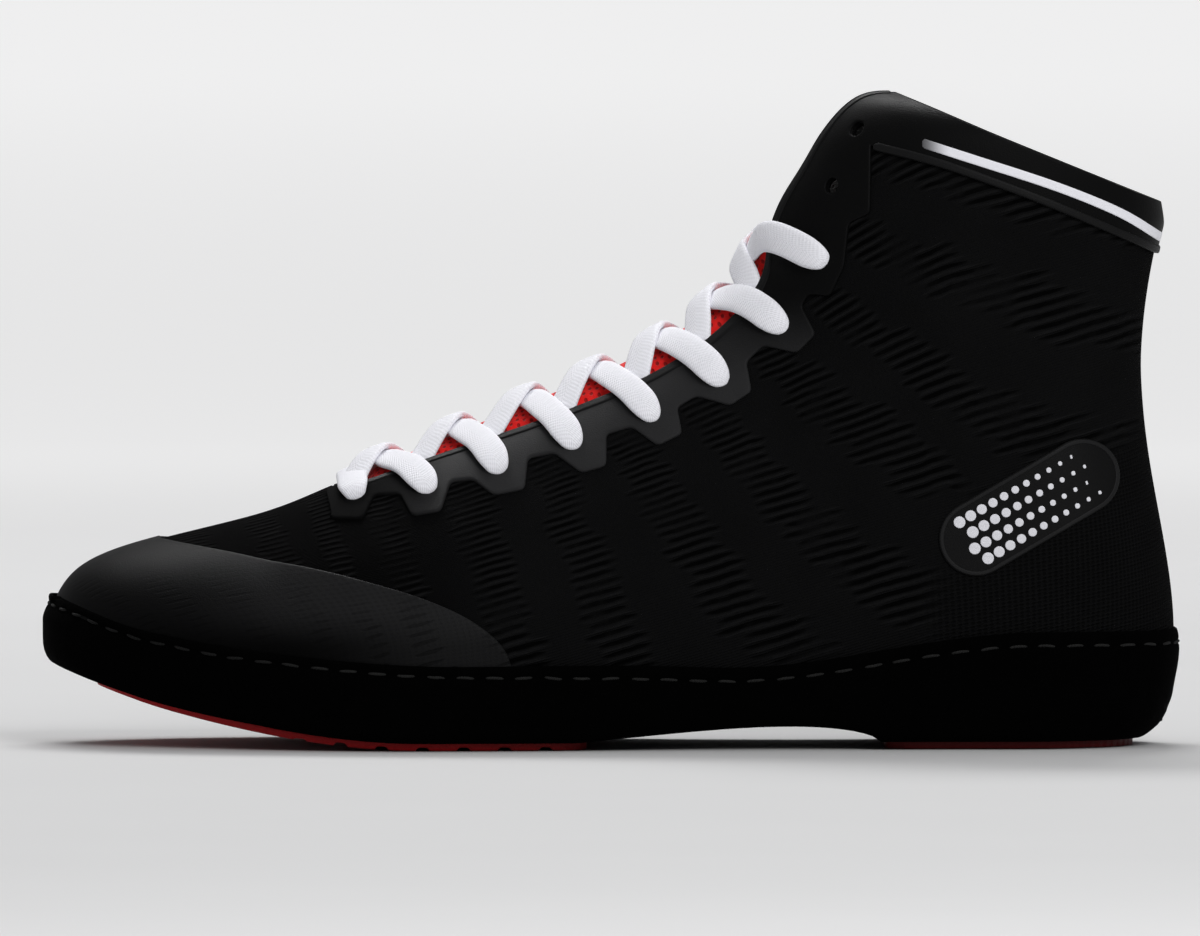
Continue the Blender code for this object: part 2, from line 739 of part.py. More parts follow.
def strand(name, start, stop, low_start, over, surface):
    """Flat lace from one signed spot of the throat to another, lying just off what is under it."""
    path = []
    heads = []
    for k in range(LACE_STEPS + 1):
        u = k / LACE_STEPS
        s = start[0] + (stop[0] - start[0]) * u
        y = start[1] + (stop[1] - start[1]) * u
        lift = LACE_LIFT + over * max(1.0 - abs(2.0 * u - 1.0) * 2.5, 0.0)
        if low_start:
            lift -= (LACE_LIFT - LACE_LOW) * max(1.0 - u * LACE_STEPS / 2, 0.0)
        path.append(on_throat(s, y, lift))
        heads.append(on_throat(s, y, lift + LACE))
    points = []
    for k in range(LACE_STEPS + 1):
        run = path[min(k + 1, LACE_STEPS)] - path[max(k - 1, 0)]
        across = run.cross(heads[k] - path[k]).normalized() * LACE_WIDTH / 2
        points += [path[k] - across, path[k] + across, heads[k] + across, heads[k] - across]
    faces = [(0, 1, 2, 3)]
    for k in range(LACE_STEPS):
        a = 4 * k
        for j in range(4):
            i = (j + 1) % 4
            faces.append((a + j, a + i, a + 4 + i, a + 4 + j))
    a = 4 * LACE_STEPS
    faces.append((a + 3, a + 2, a + 1, a))
    piece = add_mesh(name, points, faces, surface)
    face_out(piece)
    return piece


def make_laces(spots, surface):
    """A bar at the front, then one crossing of two joined strands per pair of holes."""
    first, y = spots[0]
    strand("lace_bar", (first, y), (first, -y), False, 0.0, surface)
    for k in range(LACED - 1):
        near, far = spots[k], spots[k + 1]
        begin = near[0] + LACE_START * (far[0] - near[0])
        inner = gap_at(begin) - 0.0035
        pair = []
        for side in (1, -1):
            name = "lace_cross_%d" % (k + 1) if side > 0 else "lace_under"
            over = LACE_OVER if side > 0 else 0.0
            pair.append(strand(name, (begin, side * inner), (far[0], -side * far[1]), True, over, surface))
        cut(pair[0], pair[1], "UNION")
        apply_modifiers(pair[0])
        bpy.data.objects.remove(pair[1], do_unlink=True)


# Build
for leftover in list(bpy.data.objects):
    bpy.data.objects.remove(leftover, do_unlink=True)
PARTS = collection("ring_shoe")
CUTTERS = collection("cutters")

KNIT = material("knit", (0.012, 0.012, 0.013), 0.85)
WRAP = material("wrap", (0.008, 0.008, 0.008), 0.9)
RED_RUBBER = material("red_rubber", (0.42, 0.02, 0.02), 0.6)
FOOTBED = material("footbed", (0.02, 0.02, 0.02), 0.95)
FILM = material("film", (0.03, 0.03, 0.032), 0.55)
COTTON = material("cotton", (0.8, 0.8, 0.8), 0.9)
TONGUE_MESH = material("tongue_mesh", (0.55, 0.02, 0.02), 0.8)

upper, outside = make_upper(KNIT)
cup, cup_edges = make_cup(outside, WRAP)
make_plate("outsole_forefoot", cup_edges, FOREFOOT_FROM, FOREFOOT_TO, FOREFOOT_LUGS, RED_RUBBER)
make_plate("outsole_heel", cup_edges, HEEL_FROM, HEEL_TO, HEEL_LUGS, RED_RUBBER)
make_insole(tree_of(upper), FOOTBED)
make_tongue(TONGUE_MESH)

holes = eyelet_spots()
punch = make_punch(holes)
cut(upper, punch, "DIFFERENCE")
make_overlay("toe_cap", rows_between("toe_rim", "waist"), (1, -1), COLUMNS, cap_outline(), FILM)
stay_rows = rows_between("throat_front", "collar")[1:]
for name, side in (("eyestay_lateral", 1), ("eyestay_medial", -1)):
    stay = make_overlay(name, stay_rows, (side,), STAY_COLUMNS, stay_outline(), FILM)
    cut(stay, punch, "DIFFERENCE")
make_overlay("cuff", rows_between("cuff", "collar"), (1, -1), COLUMNS, cuff_outline(), FILM)
make_laces(holes, COTTON)
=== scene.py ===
"""Left high-top ring shoe: knit, films, napped wrap, outsole, tongue and lace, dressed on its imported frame."""

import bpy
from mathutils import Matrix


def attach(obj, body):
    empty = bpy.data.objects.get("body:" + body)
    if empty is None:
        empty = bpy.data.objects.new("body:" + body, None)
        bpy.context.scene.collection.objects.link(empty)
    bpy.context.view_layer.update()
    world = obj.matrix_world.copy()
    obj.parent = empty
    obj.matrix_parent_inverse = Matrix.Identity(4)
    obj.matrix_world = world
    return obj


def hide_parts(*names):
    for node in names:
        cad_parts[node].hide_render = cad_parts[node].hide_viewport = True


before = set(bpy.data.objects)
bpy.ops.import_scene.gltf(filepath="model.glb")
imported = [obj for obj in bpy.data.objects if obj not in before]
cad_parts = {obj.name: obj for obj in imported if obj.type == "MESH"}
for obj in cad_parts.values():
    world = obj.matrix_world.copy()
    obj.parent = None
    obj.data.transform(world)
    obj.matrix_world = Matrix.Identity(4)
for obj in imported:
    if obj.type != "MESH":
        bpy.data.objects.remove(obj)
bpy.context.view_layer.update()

import math
from collections import namedtuple

import bmesh
import bpy
import numpy as np
from bpy.props import FloatProperty, FloatVectorProperty, PointerProperty
from mathutils import Vector
from mathutils.bvhtree import BVHTree

bl_info = {
    "name": "Ring shoe",
    "version": (1, 0, 0),
    "blender": (4, 5, 0),
    "location": "3D View > Sidebar > Ring shoe",
    "description": "Builds the knit, films, wrap, outsole, tongue and lace of a high-top ring shoe",
    "category": "Object",
}

# The last's driving sizes in metres
LENGTH = 0.288
HEIGHT = 0.164
BALL_WIDTH = 0.098
MM = LENGTH / 288
CENTRE_X = 0.4976 * LENGTH
CENTRE_Y = -0.00017

# Walls, plates and gaps in metres
WALL = 0.0020
FLOOR = 0.0030
PLATE = 0.0025
PLATE_GAP = 0.0003
CUP_GAP = 0.0009
CUP_WALL = 0.0022
CUP_EDGE = 0.0015
WALL_BEND = 0.012
FOOT_GAP = 0.0005
FOOT_EASE = 0.0012

# Rounding of the heel in plan, then the sections of the throat's front, the heel's foot and the collar
ROUND_FROM = 0.160 * LENGTH
ROUND_TO = 0.0167 * LENGTH
ROUND_POWER = 2.3
THROAT_FRONT = 6.0
THROAT_ROUND = 0.55
HEEL_BASE = 14
COLLAR = 20.0

# Steps and limits for working out sheets and rays
STEP = 0.002
LONGEST_SLIDE = 0.0012
SNAP = 0.00012
ON_EDGE = 0.0002
INNER_FACE = 0.0001
WELD = 0.000004
NOWHERE = -0.02
RAY_START = 0.12

# The stage: camera, the width it sees, and the floor
CAMERA_AWAY = 5.0
SEEN_WIDTH = 0.3028
SENSOR = 36.0
FLOOR_HALF = 45.0
FLOOR_Z = -0.0001

# One row per section of the last, toe to collar: x from the heel as a share of the length, z of the height,
# half widths of the ball width; belly is where it is widest, crown and base its fullness above and below
Section = namedtuple(
    "Section", "top_x top_z foot_x foot_up mid lateral medial sole_lat sole_med gap belly crown base"
)
SECTIONS = (
    Section(0.9885, 0.1616, 0.8681, -0.0122, -0.138, 0.376, 0.257, 0.369, 0.253, 0.000, 0.97, 2.10, 2.40),
    Section(0.9872, 0.2043, 0.8542, -0.0122, -0.138, 0.414, 0.284, 0.402, 0.273, 0.000, 0.90, 2.14, 2.40),
    Section(0.9688, 0.2598, 0.8333, -0.0122, -0.133, 0.455, 0.310, 0.437, 0.295, 0.000, 0.84, 2.16, 2.40),
    Section(0.9253, 0.2988, 0.8056, -0.0122, -0.117, 0.490, 0.341, 0.467, 0.320, 0.000, 0.79, 2.12, 2.40),
    Section(0.8622, 0.3287, 0.7674, -0.0122, -0.102, 0.523, 0.367, 0.496, 0.343, 0.000, 0.75, 2.02, 2.40),
    Section(0.7934, 0.3616, 0.7257, -0.0122, -0.092, 0.545, 0.378, 0.514, 0.351, 0.000, 0.73, 1.90, 2.40),
    Section(0.7431, 0.3976, 0.6910, -0.0122, -0.082, 0.551, 0.384, 0.518, 0.353, 0.122, 0.72, 1.78, 2.40),
    Section(0.6849, 0.4370, 0.6389, -0.0122, -0.071, 0.541, 0.371, 0.508, 0.340, 0.133, 0.71, 1.66, 2.40),
    Section(0.6010, 0.4988, 0.5556, -0.0122, -0.061, 0.506, 0.339, 0.472, 0.302, 0.148, 0.69, 1.62, 2.40),
    Section(0.5361, 0.5454, 0.4722, -0.0122, -0.051, 0.461, 0.312, 0.424, 0.267, 0.148, 0.66, 1.64, 2.40),
    Section(0.4743, 0.5945, 0.3750, -0.0122, -0.041, 0.416, 0.300, 0.382, 0.253, 0.145, 0.62, 1.70, 2.40),
    Section(0.4234, 0.6499, 0.2708, -0.0122, -0.031, 0.382, 0.314, 0.353, 0.271, 0.138, 0.58, 1.80, 2.40),
    Section(0.3885, 0.7032, 0.1632, -0.0122, -0.024, 0.369, 0.327, 0.337, 0.290, 0.129, 0.56, 1.92, 2.45),
    Section(0.3711, 0.7501, 0.0729, -0.0122, -0.020, 0.363, 0.335, 0.335, 0.298, 0.120, 0.55, 2.02, 2.50),
    Section(0.3667, 0.7948, 0.0167, 0.0317, -0.016, 0.357, 0.337, 0.332, 0.300, 0.112, 0.54, 2.08, 2.50),
    Section(0.3561, 0.8418, 0.0069, 0.1872, -0.012, 0.353, 0.337, 0.332, 0.300, 0.107, 0.53, 2.12, 2.50),
    Section(0.3390, 0.8833, 0.0257, 0.3884, -0.008, 0.347, 0.333, 0.332, 0.300, 0.104, 0.52, 2.16, 2.40),
    Section(0.3264, 0.9157, 0.0337, 0.5774, -0.004, 0.335, 0.324, 0.332, 0.300, 0.102, 0.51, 2.18, 2.30),
    Section(0.3124, 0.9508, 0.0219, 0.7268, 0.000, 0.324, 0.318, 0.332, 0.300, 0.100, 0.50, 2.20, 2.25),
    Section(0.2859, 0.9941, 0.0170, 0.7652, 0.000, 0.320, 0.314, 0.332, 0.300, 0.098, 0.50, 2.20, 2.20),
    Section(0.2532, 1.0016, 0.0194, 0.7957, 0.000, 0.316, 0.310, 0.332, 0.300, 0.096, 0.50, 2.20, 2.20),
)
UNITS = {
    "top_x": LENGTH, "foot_x": LENGTH, "top_z": HEIGHT, "foot_up": HEIGHT, "belly": 1, "crown": 1, "base": 1,
}

# Panel outlines on the side of the shoe: x from the heel and z, in millimetres of the last
CAP_EDGE = (
    (258.5, 64.0), (257.5, 51.5), (248.0, 50.2), (232.6, 47.8), (219.0, 45.3), (206.4, 42.4),
    (197.0, 40.0), (189.0, 37.4), (180.3, 33.6), (173.5, 29.0), (169.5, 24.0), (167.5, 16.0),
)
STAY_TEETH = (
    (213.9, 57.2), (206.0, 57.2), (203.2, 63.0), (196.6, 63.5), (193.6, 58.2), (186.3, 59.5), (184.0, 66.6),
    (178.4, 67.3), (173.1, 63.5), (165.3, 65.0), (164.5, 72.6), (157.9, 73.9), (151.1, 69.1), (144.8, 70.9),
    (144.8, 78.7), (138.4, 80.5), (131.9, 75.9), (125.8, 79.2), (127.0, 85.5), (122.2, 88.3), (113.6, 86.0),
    (108.3, 89.6), (109.6, 96.9), (105.3, 101.0), (96.9, 99.2), (92.1, 104.0), (95.7, 111.0), (93.8, 114.0),
)
STAY_FLAP = (
    (88.6, 113.5), (85.0, 121.0), (83.8, 131.9), (78.5, 134.4), (78.2, 151.6), (71.0, 168.5), (71.0, 185.0),
    (120.0, 160.0), (180.0, 105.0), (216.5, 80.0), (216.5, 61.0),
)
CUFF_EDGE = (
    (84.0, 152.6), (77.7, 151.2), (62.3, 147.4), (46.8, 142.1), (31.1, 136.0), (6.1, 125.0), (-8.0, 118.6),
)
CUFF_ABOVE = ((-8.0, 175.0), (84.0, 185.0))
EYELETS = (
    (207.6, 62.6), (189.4, 64.6), (171.7, 69.7), (152.8, 76.0), (133.0, 83.2), (115.8, 92.3),
    (100.6, 105.9), (90.4, 123.0), (87.8, 141.2), (81.5, 155.4),
)
BANDS = (
    (200.2, 56.4), (179.3, 59.0), (156.7, 62.5), (134.0, 68.2), (113.5, 77.3), (97.5, 92.0), (86.2, 108.9),
    (75.4, 126.7), (67.6, 146.0),
)
STRIPE_LINE = (
    (72.0, 154.0), (63.0, 151.2), (46.8, 146.1), (31.1, 140.9), (15.7, 134.4), (5.6, 128.2), (-8.0, 120.6),
)
PATCH_LINE = ((52.0, 53.0), (25.5, 68.5))

# Laced pairs of holes, how far along its step each crossing meets, and the holes' radius in metres
LACED = 8
CRESTS = (0.46, 0.46, 0.46, 0.44, 0.36, 0.26, 0.16)
EYELET_RADIUS = 0.0021

# Soft troughs and ridges pressed into the knit: ends, half width and depth in millimetres
Fold = namedtuple("Fold", "x0 z0 x1 z1 half depth")
FOLDS = (
    Fold(121.0, 84.0, 128.0, 62.0, 5.5, 0.50),
    Fold(103.0, 96.0, 92.0, 74.0, 6.0, 0.55),
    Fold(86.0, 112.0, 60.0, 96.0, 6.0, 0.60),
    Fold(80.0, 124.0, 44.0, 114.0, 5.0, 0.45),
    Fold(14.0, 96.0, 40.0, 92.0, 6.0, 0.55),
    Fold(232.0, 52.0, 224.0, 34.0, 6.0, 0.45),
    Fold(216.0, 55.0, 206.0, 34.0, 6.5, -0.30),
    Fold(201.0, 62.6, 200.0, 57.5, 2.6, 0.35),
    Fold(182.0, 66.0, 181.0, 60.0, 2.6, 0.40),
    Fold(162.0, 71.5, 161.5, 65.0, 2.8, 0.45),
    Fold(143.0, 77.5, 142.5, 71.0, 2.8, 0.45),
    Fold(125.5, 84.5, 124.5, 78.0, 2.8, 0.45),
    Fold(108.0, 96.0, 106.5, 90.0, 2.8, 0.45),
)


# The last, worked on whole arrays at once
def spline(values):
    """Knots of a natural cubic through evenly spaced values, with its second derivatives."""
    values = np.array(values)
    system = np.eye(len(values))
    target = np.zeros(len(values))
    for i in range(1, len(values) - 1):
        system[i, i - 1:i + 2] = (1.0, 4.0, 1.0)
        target[i] = 6.0 * (values[i + 1] - 2.0 * values[i] + values[i - 1])
    return values, np.linalg.solve(system, target)


def read(curve, s):
    """Value of a spline at some places, counted in its knots."""
    knots, bends = curve
    i = np.clip(np.floor(s).astype(int), 0, len(knots) - 2)
    u = s - i
    v = 1.0 - u
    bend = (v ** 3 - v) * bends[i] + (u ** 3 - u) * bends[i + 1]
    return v * knots[i] + u * knots[i + 1] + bend / 6.0


CURVES = {
    column: spline([getattr(row, column) * UNITS.get(column, BALL_WIDTH) for row in SECTIONS])
    for column in Section._fields
}


def along(column, s):
    """One column of the section table, read smoothly between its rows."""
    return read(CURVES[column], s)


def from_heel(distance):
    """The shoe's own x of a distance from the heel in millimetres of the last."""
    return distance * MM - CENTRE_X


def side_view(points):
    """Distance from the heel and height in millimetres of the last."""
    return (points[..., 0] + CENTRE_X) / MM, points[..., 2] / MM


def smooth_step(value, low, high):
    share = np.clip((value - low) / (high - low), 0.0, 1.0)
    return share * share * (3.0 - 2.0 * share)


def under_at(x):
    """Underside of the cup: level at heel and ball, raised at the arch and the toe."""
    heel = np.asarray(x) + CENTRE_X
    share = np.clip((heel - 0.264 * LENGTH) / (0.264 * LENGTH), 0.0, 1.0)
    arch = 0.0039 * np.maximum(np.sin(math.pi * share ** 0.58), 0.0)
    spring = np.maximum(heel - 0.667 * LENGTH, 0.0) / (0.333 * LENGTH)
    return PLATE + PLATE_GAP + 0.021 * spring ** 1.8 + arch


def cup_top_at(x):
    heel = x + CENTRE_X
    ahead = max(heel - 0.566 * LENGTH, 0.0) / (0.434 * LENGTH)
    back = float(smooth_step(0.417 * LENGTH - heel, 0.0, 0.295 * LENGTH))
    front = float(smooth_step(heel, 0.30 * LENGTH, 0.50 * LENGTH))
    tip = float(smooth_step(heel, 0.89 * LENGTH, 0.98 * LENGTH))
    toe = float(smooth_step(heel, 0.62 * LENGTH, 0.80 * LENGTH))
    toe -= float(smooth_step(heel, 0.87 * LENGTH, 0.96 * LENGTH))
    back_rise = 0.0096 * back + 0.0016 * front * (1.0 - ahead)
    return 0.0198 + 0.0186 * ahead ** 3.2 + back_rise + 0.0018 * tip + 0.0015 * toe


def half_width(s, q):
    return np.where(q >= 0.0, along("lateral", s), along("medial", s))


def last_angle(s, q):
    """Angle of a section's lower end: the feather line, closing round the heel to the back seam."""
    share = np.clip((ROUND_FROM - along("foot_x", s)) / (ROUND_FROM - ROUND_TO), 0.0, 1.0)
    feather = np.where(q >= 0.0, along("sole_lat", s), along("sole_med", s))
    feather = feather * (1.0 - share ** ROUND_POWER) ** (1.0 / ROUND_POWER)
    share = np.clip(feather / half_width(s, q), 0.0, 0.985)
    return np.where(s >= HEEL_BASE, math.pi, math.pi - np.arcsin(share ** (along("base", s) / 2)))


def spine(s):
    """Crest and foot of a section in side view: x from the heel and z of each."""
    rise = along("foot_up", s)
    rise = (rise + np.sqrt(rise * rise + FOOT_EASE * FOOT_EASE)) / 2
    foot_x = along("foot_x", s)
    foot_z = under_at(foot_x - CENTRE_X) + FLOOR + FOOT_GAP + rise
    return along("top_x", s), along("top_z", s), foot_x, foot_z


def skin(s, q):
    """Points of the last on section s at a signed angle from the crest, lateral side positive."""
    angle = np.abs(q)
    belly = along("belly", s)
    half = half_width(s, q)
    top_x, top_z, foot_x, foot_z = spine(s)
    cosine = np.cos(angle)
    end = np.maximum(-np.cos(last_angle(s, q)), 1e-6)
    high = belly * (1.0 - np.maximum(cosine, 0.0) ** (2.0 / along("crown", s)))
    low = belly + (1.0 - belly) * (np.maximum(-cosine, 0.0) / end) ** (2.0 / along("base", s))
    upper = angle <= math.pi / 2
    share = np.where(upper, high, low)
    power = np.where(upper, 2.0 / along("crown", s), 2.0 / along("base", s))
    y = half * np.maximum(np.sin(angle), 0.0) ** power
    x = top_x * (1.0 - share) + foot_x * share
    z = top_z * (1.0 - share) + foot_z * share
    return np.stack([x - CENTRE_X, along("mid", s) + np.where(q >= 0.0, y, -y) - CENTRE_Y, z], -1)


def off_middle(points, s):
    """Distance of points on some sections from the middle of the last."""
    return np.abs(points[..., 1] - along("mid", s) + CENTRE_Y)


def unit(vectors):
    return vectors / np.maximum(np.linalg.norm(vectors, axis=-1, keepdims=True), 1e-12)


def normal_at(s, q):
    side = np.where(q >= 0.0, 1.0, -1.0)
    angle = np.abs(q)
    low = np.minimum(np.maximum(angle - 0.02, 0.02), last_angle(s, q) - 0.06)
    back = np.clip(s - 0.02, 0.0, COLLAR - 0.04)
    middle = side * (low + 0.02)
    down = skin(s, side * (low + 0.04)) - skin(s, side * low)
    run = skin(back + 0.04, middle) - skin(back, middle)
    normal = np.cross(down, run) * side[..., None]
    normal[..., 1] = np.where((angle < 0.02) | (angle > math.pi - 0.02), 0.0, normal[..., 1])
    return unit(normal)


def fold_depth(points):
    """How far the soft troughs and ridges press the knit in at some points of the last."""
    x, z = side_view(points)
    depth = np.zeros(x.shape)
    for fold in FOLDS:
        run = np.array((fold.x1 - fold.x0, fold.z1 - fold.z0))
        share = ((x - fold.x0) * run[0] + (z - fold.z0) * run[1]) / (run @ run)
        held = np.clip(share, 0.0, 1.0)
        off = np.hypot(x - fold.x0 - held * run[0], z - fold.z0 - held * run[1])
        taper = 1.0 - 0.75 * np.abs(2.0 * held - 1.0) ** 3
        depth += fold.depth * taper * np.exp(-(off / fold.half) ** 2)
    return depth * 0.001


def lifted(s, q, lift):
    """Points off the last along its outward normal, following the folds."""
    points = skin(s, q)
    return points + normal_at(s, q) * (lift - fold_depth(points))[..., None]


def angle_at(s, y):
    """Signed angle on the crown of a section at a signed half width."""
    share = np.minimum(np.abs(y) / half_width(s, y), 1.0)
    return np.where(y >= 0.0, 1.0, -1.0) * np.arcsin(share ** (along("crown", s) / 2))


def facing(s, q, spots):
    """Lateral angle that a medial one stands for, so that both sides' holes lie alike in the shared outline."""
    hole = np.interp(s, [spot[0] for spot in spots], [spot[1] for spot in spots])
    beyond = np.maximum(np.abs(q) - np.abs(angle_at(s, -hole)), 0.0)
    y = off_middle(skin(s, q), s)
    across = angle_at(s, np.where(beyond > 0.0, hole, y)) + 0.85 * beyond
    share = (1.0 - smooth_step(s, 13.0, 16.0)) * (q < 0.0)
    return np.abs(q) + (across - np.abs(q)) * share


def locate(x, z):
    """Section, half width and depth below the crest of a point seen from the side, given in millimetres."""
    x, z = x * MM, z * MM
    rows = np.linspace(0.0, COLLAR, 4001)
    top_x, top_z, foot_x, foot_z = spine(rows)
    off = (x - top_x) * (foot_z - top_z) - (z - top_z) * (foot_x - top_x)
    k = np.where(off[:-1] * off[1:] <= 0.0)[0][0]
    angles = np.linspace(0.0, math.pi / 2, 400)
    points = skin(np.full(400, rows[k]), angles)
    half = np.interp(z, points[::-1, 2], points[::-1, 1]) - along("mid", rows[k:k + 1])[0] + CENTRE_Y
    return rows[k], half, math.hypot(x - top_x[k], z - top_z[k])


# Distances in from a panel's edge, positive where the panel is
def throat_clear(s, q):
    gap = np.maximum(along("gap", s), 0.006)
    y = off_middle(skin(s, q), s)
    ahead = np.minimum((s - THROAT_FRONT - THROAT_ROUND) / THROAT_ROUND, 0.0)
    return np.where(np.abs(q) > 1.2, 0.05, gap * (np.hypot(ahead, y / gap) - 1.0))


def collar_clear(s, q):
    step = np.linalg.norm(skin(s + 0.01, q) - skin(s - 0.01, q), axis=-1) / 0.02
    return (COLLAR - s) * step


def line_distance(points, line):
    """Distance in side view to a line of points in millimetres of the last."""
    x, z = side_view(points)
    nearest = np.full(x.shape, 1e9)
    for (x0, z0), (x1, z1) in zip(line[:-1], line[1:]):
        run_x, run_z = x1 - x0, z1 - z0
        held = np.clip(((x - x0) * run_x + (z - z0) * run_z) / max(run_x ** 2 + run_z ** 2, 1e-9), 0.0, 1.0)
        nearest = np.minimum(nearest, np.hypot(x - x0 - held * run_x, z - z0 - held * run_z))
    return nearest * MM


def outline_clear(points, outline):
    """Signed distance to a closed side-view outline, positive inside."""
    x, z = side_view(points)
    closed = outline + outline[:1]
    inside = np.zeros(x.shape, bool)
    for (x0, z0), (x1, z1) in zip(closed[:-1], closed[1:]):
        slope = (x1 - x0) / (z1 - z0 if z1 != z0 else 1e-9)
        inside ^= ((z0 > z) != (z1 > z)) & (x < x0 + (z - z0) * slope)
    near = line_distance(points, closed)
    return np.where(inside, near, -near)


def hole_clear(points, centres, radius):
    return np.min([np.linalg.norm(points - centre, axis=-1) for centre in centres], axis=0) - radius


def eased(corners, radius):
    """Closed outline with its corners rounded off."""
    corners = [np.array(corner, float) for corner in corners]
    outline = []
    for before, corner, after in zip(corners[-1:] + corners[:-1], corners, corners[1:] + corners[:1]):
        ends = []
        for other in (before, after):
            length = np.linalg.norm(other - corner)
            ends.append(corner + (other - corner) * min(radius / max(length, 1e-9), 0.45))
        for u in (0.0, 0.25, 0.5, 0.75, 1.0):
            outline.append(tuple((1 - u) ** 2 * ends[0] + 2 * u * (1 - u) * corner + u * u * ends[1]))
    return outline


def flowing(points, steps=6):
    """Open line of points read as one smooth curve."""
    rows = np.linspace(0.0, len(points) - 1.0, (len(points) - 1) * steps + 1)
    return np.stack([read(spline(column), rows) for column in zip(*points)], -1)


def smooth_line(points):
    return [tuple(point) for point in flowing(points)]


def length_along(line):
    """Distance from the start of a line at each of its points."""
    return np.concatenate([[0.0], np.cumsum(np.linalg.norm(np.diff(line, axis=0), axis=1))])


# Sheets on the last: a net of points, trimmed to a panel and given a rolled rim
def net(rows, span, columns):
    share = np.linspace(0.0, 1.0, columns + 1)
    first, final = span(rows)
    q = (first[:, None] + (final - first)[:, None] * share).ravel()
    s = np.repeat(rows, columns + 1)
    wide = columns + 1
    a = (np.arange(len(rows) - 1)[:, None] * wide + np.arange(columns)).ravel()
    halves = ((a, a + 1, a + wide + 1), (a, a + wide + 1, a + wide))
    return s, q, np.concatenate([np.stack(half, -1) for half in halves])


def slide(s, q, clear, target):
    """Points moved along the last until they are a given distance in from a panel's edge."""
    for _ in range(4):
        off = clear(s, q) - target
        tilt_s = (clear(s + STEP, q) - clear(s - STEP, q)) / (2.0 * STEP)
        tilt_q = (clear(s, q + STEP) - clear(s, q - STEP)) / (2.0 * STEP)
        span_s = np.linalg.norm(skin(s + STEP, q) - skin(s - STEP, q), axis=-1) / (2.0 * STEP) + 1e-6
        span_q = np.linalg.norm(skin(s, q + STEP) - skin(s, q - STEP), axis=-1) / (2.0 * STEP) + 1e-6
        steep = np.maximum((tilt_s / span_s) ** 2 + (tilt_q / span_q) ** 2, 0.05)
        off = np.clip(off, -LONGEST_SLIDE, LONGEST_SLIDE)
        s = s - off * tilt_s / span_s ** 2 / steep
        q = q - off * tilt_q / span_q ** 2 / steep
    return s, q


def trim(s, q, triangles, clear):
    """Sheet cut back to where clear is positive, with new points on its edge."""
    off = clear(s, q)
    near = np.abs(off) < SNAP
    if near.any():
        s[near], q[near] = slide(s[near], q[near], clear, 0.0)
        off[near] = 0.0
    inside = off > 0.0
    some = inside[triangles].any(1)
    whole = (off[triangles] >= 0.0).all(1)
    kept = [tuple(row) for row in triangles[some & whole]]
    pairs = {}
    for row in triangles[some & ~whole]:
        ring = []
        for a, b in ((row[0], row[1]), (row[1], row[2]), (row[2], row[0])):
            if off[a] >= 0.0:
                ring.append(a)
            if off[a] * off[b] < 0.0:
                key = (a, b) if off[a] > 0.0 else (b, a)
                ring.append(pairs.setdefault(key, len(s) + len(pairs)))
        kept += [(ring[0], ring[k], ring[k + 1]) for k in range(1, len(ring) - 1)]
    if pairs:
        a, b = np.array(list(pairs)).T
        low, high = np.zeros(len(a)), np.ones(len(a))
        for _ in range(14):
            middle = (low + high) / 2
            within = clear(s[a] + (s[b] - s[a]) * middle, q[a] + (q[b] - q[a]) * middle) > 0.0
            low, high = np.where(within, middle, low), np.where(within, high, middle)
        s = np.concatenate([s, s[a] + (s[b] - s[a]) * low])
        q = np.concatenate([q, q[a] + (q[b] - q[a]) * low])
    return s, q, np.array(kept)


def border(triangles):
    """Directed edges that only one triangle has."""
    edges = np.concatenate([triangles[:, [0, 1]], triangles[:, [1, 2]], triangles[:, [2, 0]]])
    code = np.sort(edges, 1) @ np.array([10 ** 7, 1])
    _, first, count = np.unique(code, return_index=True, return_counts=True)
    return edges[first[count == 1]]


Sheet = namedtuple("Sheet", "points faces s q lift")


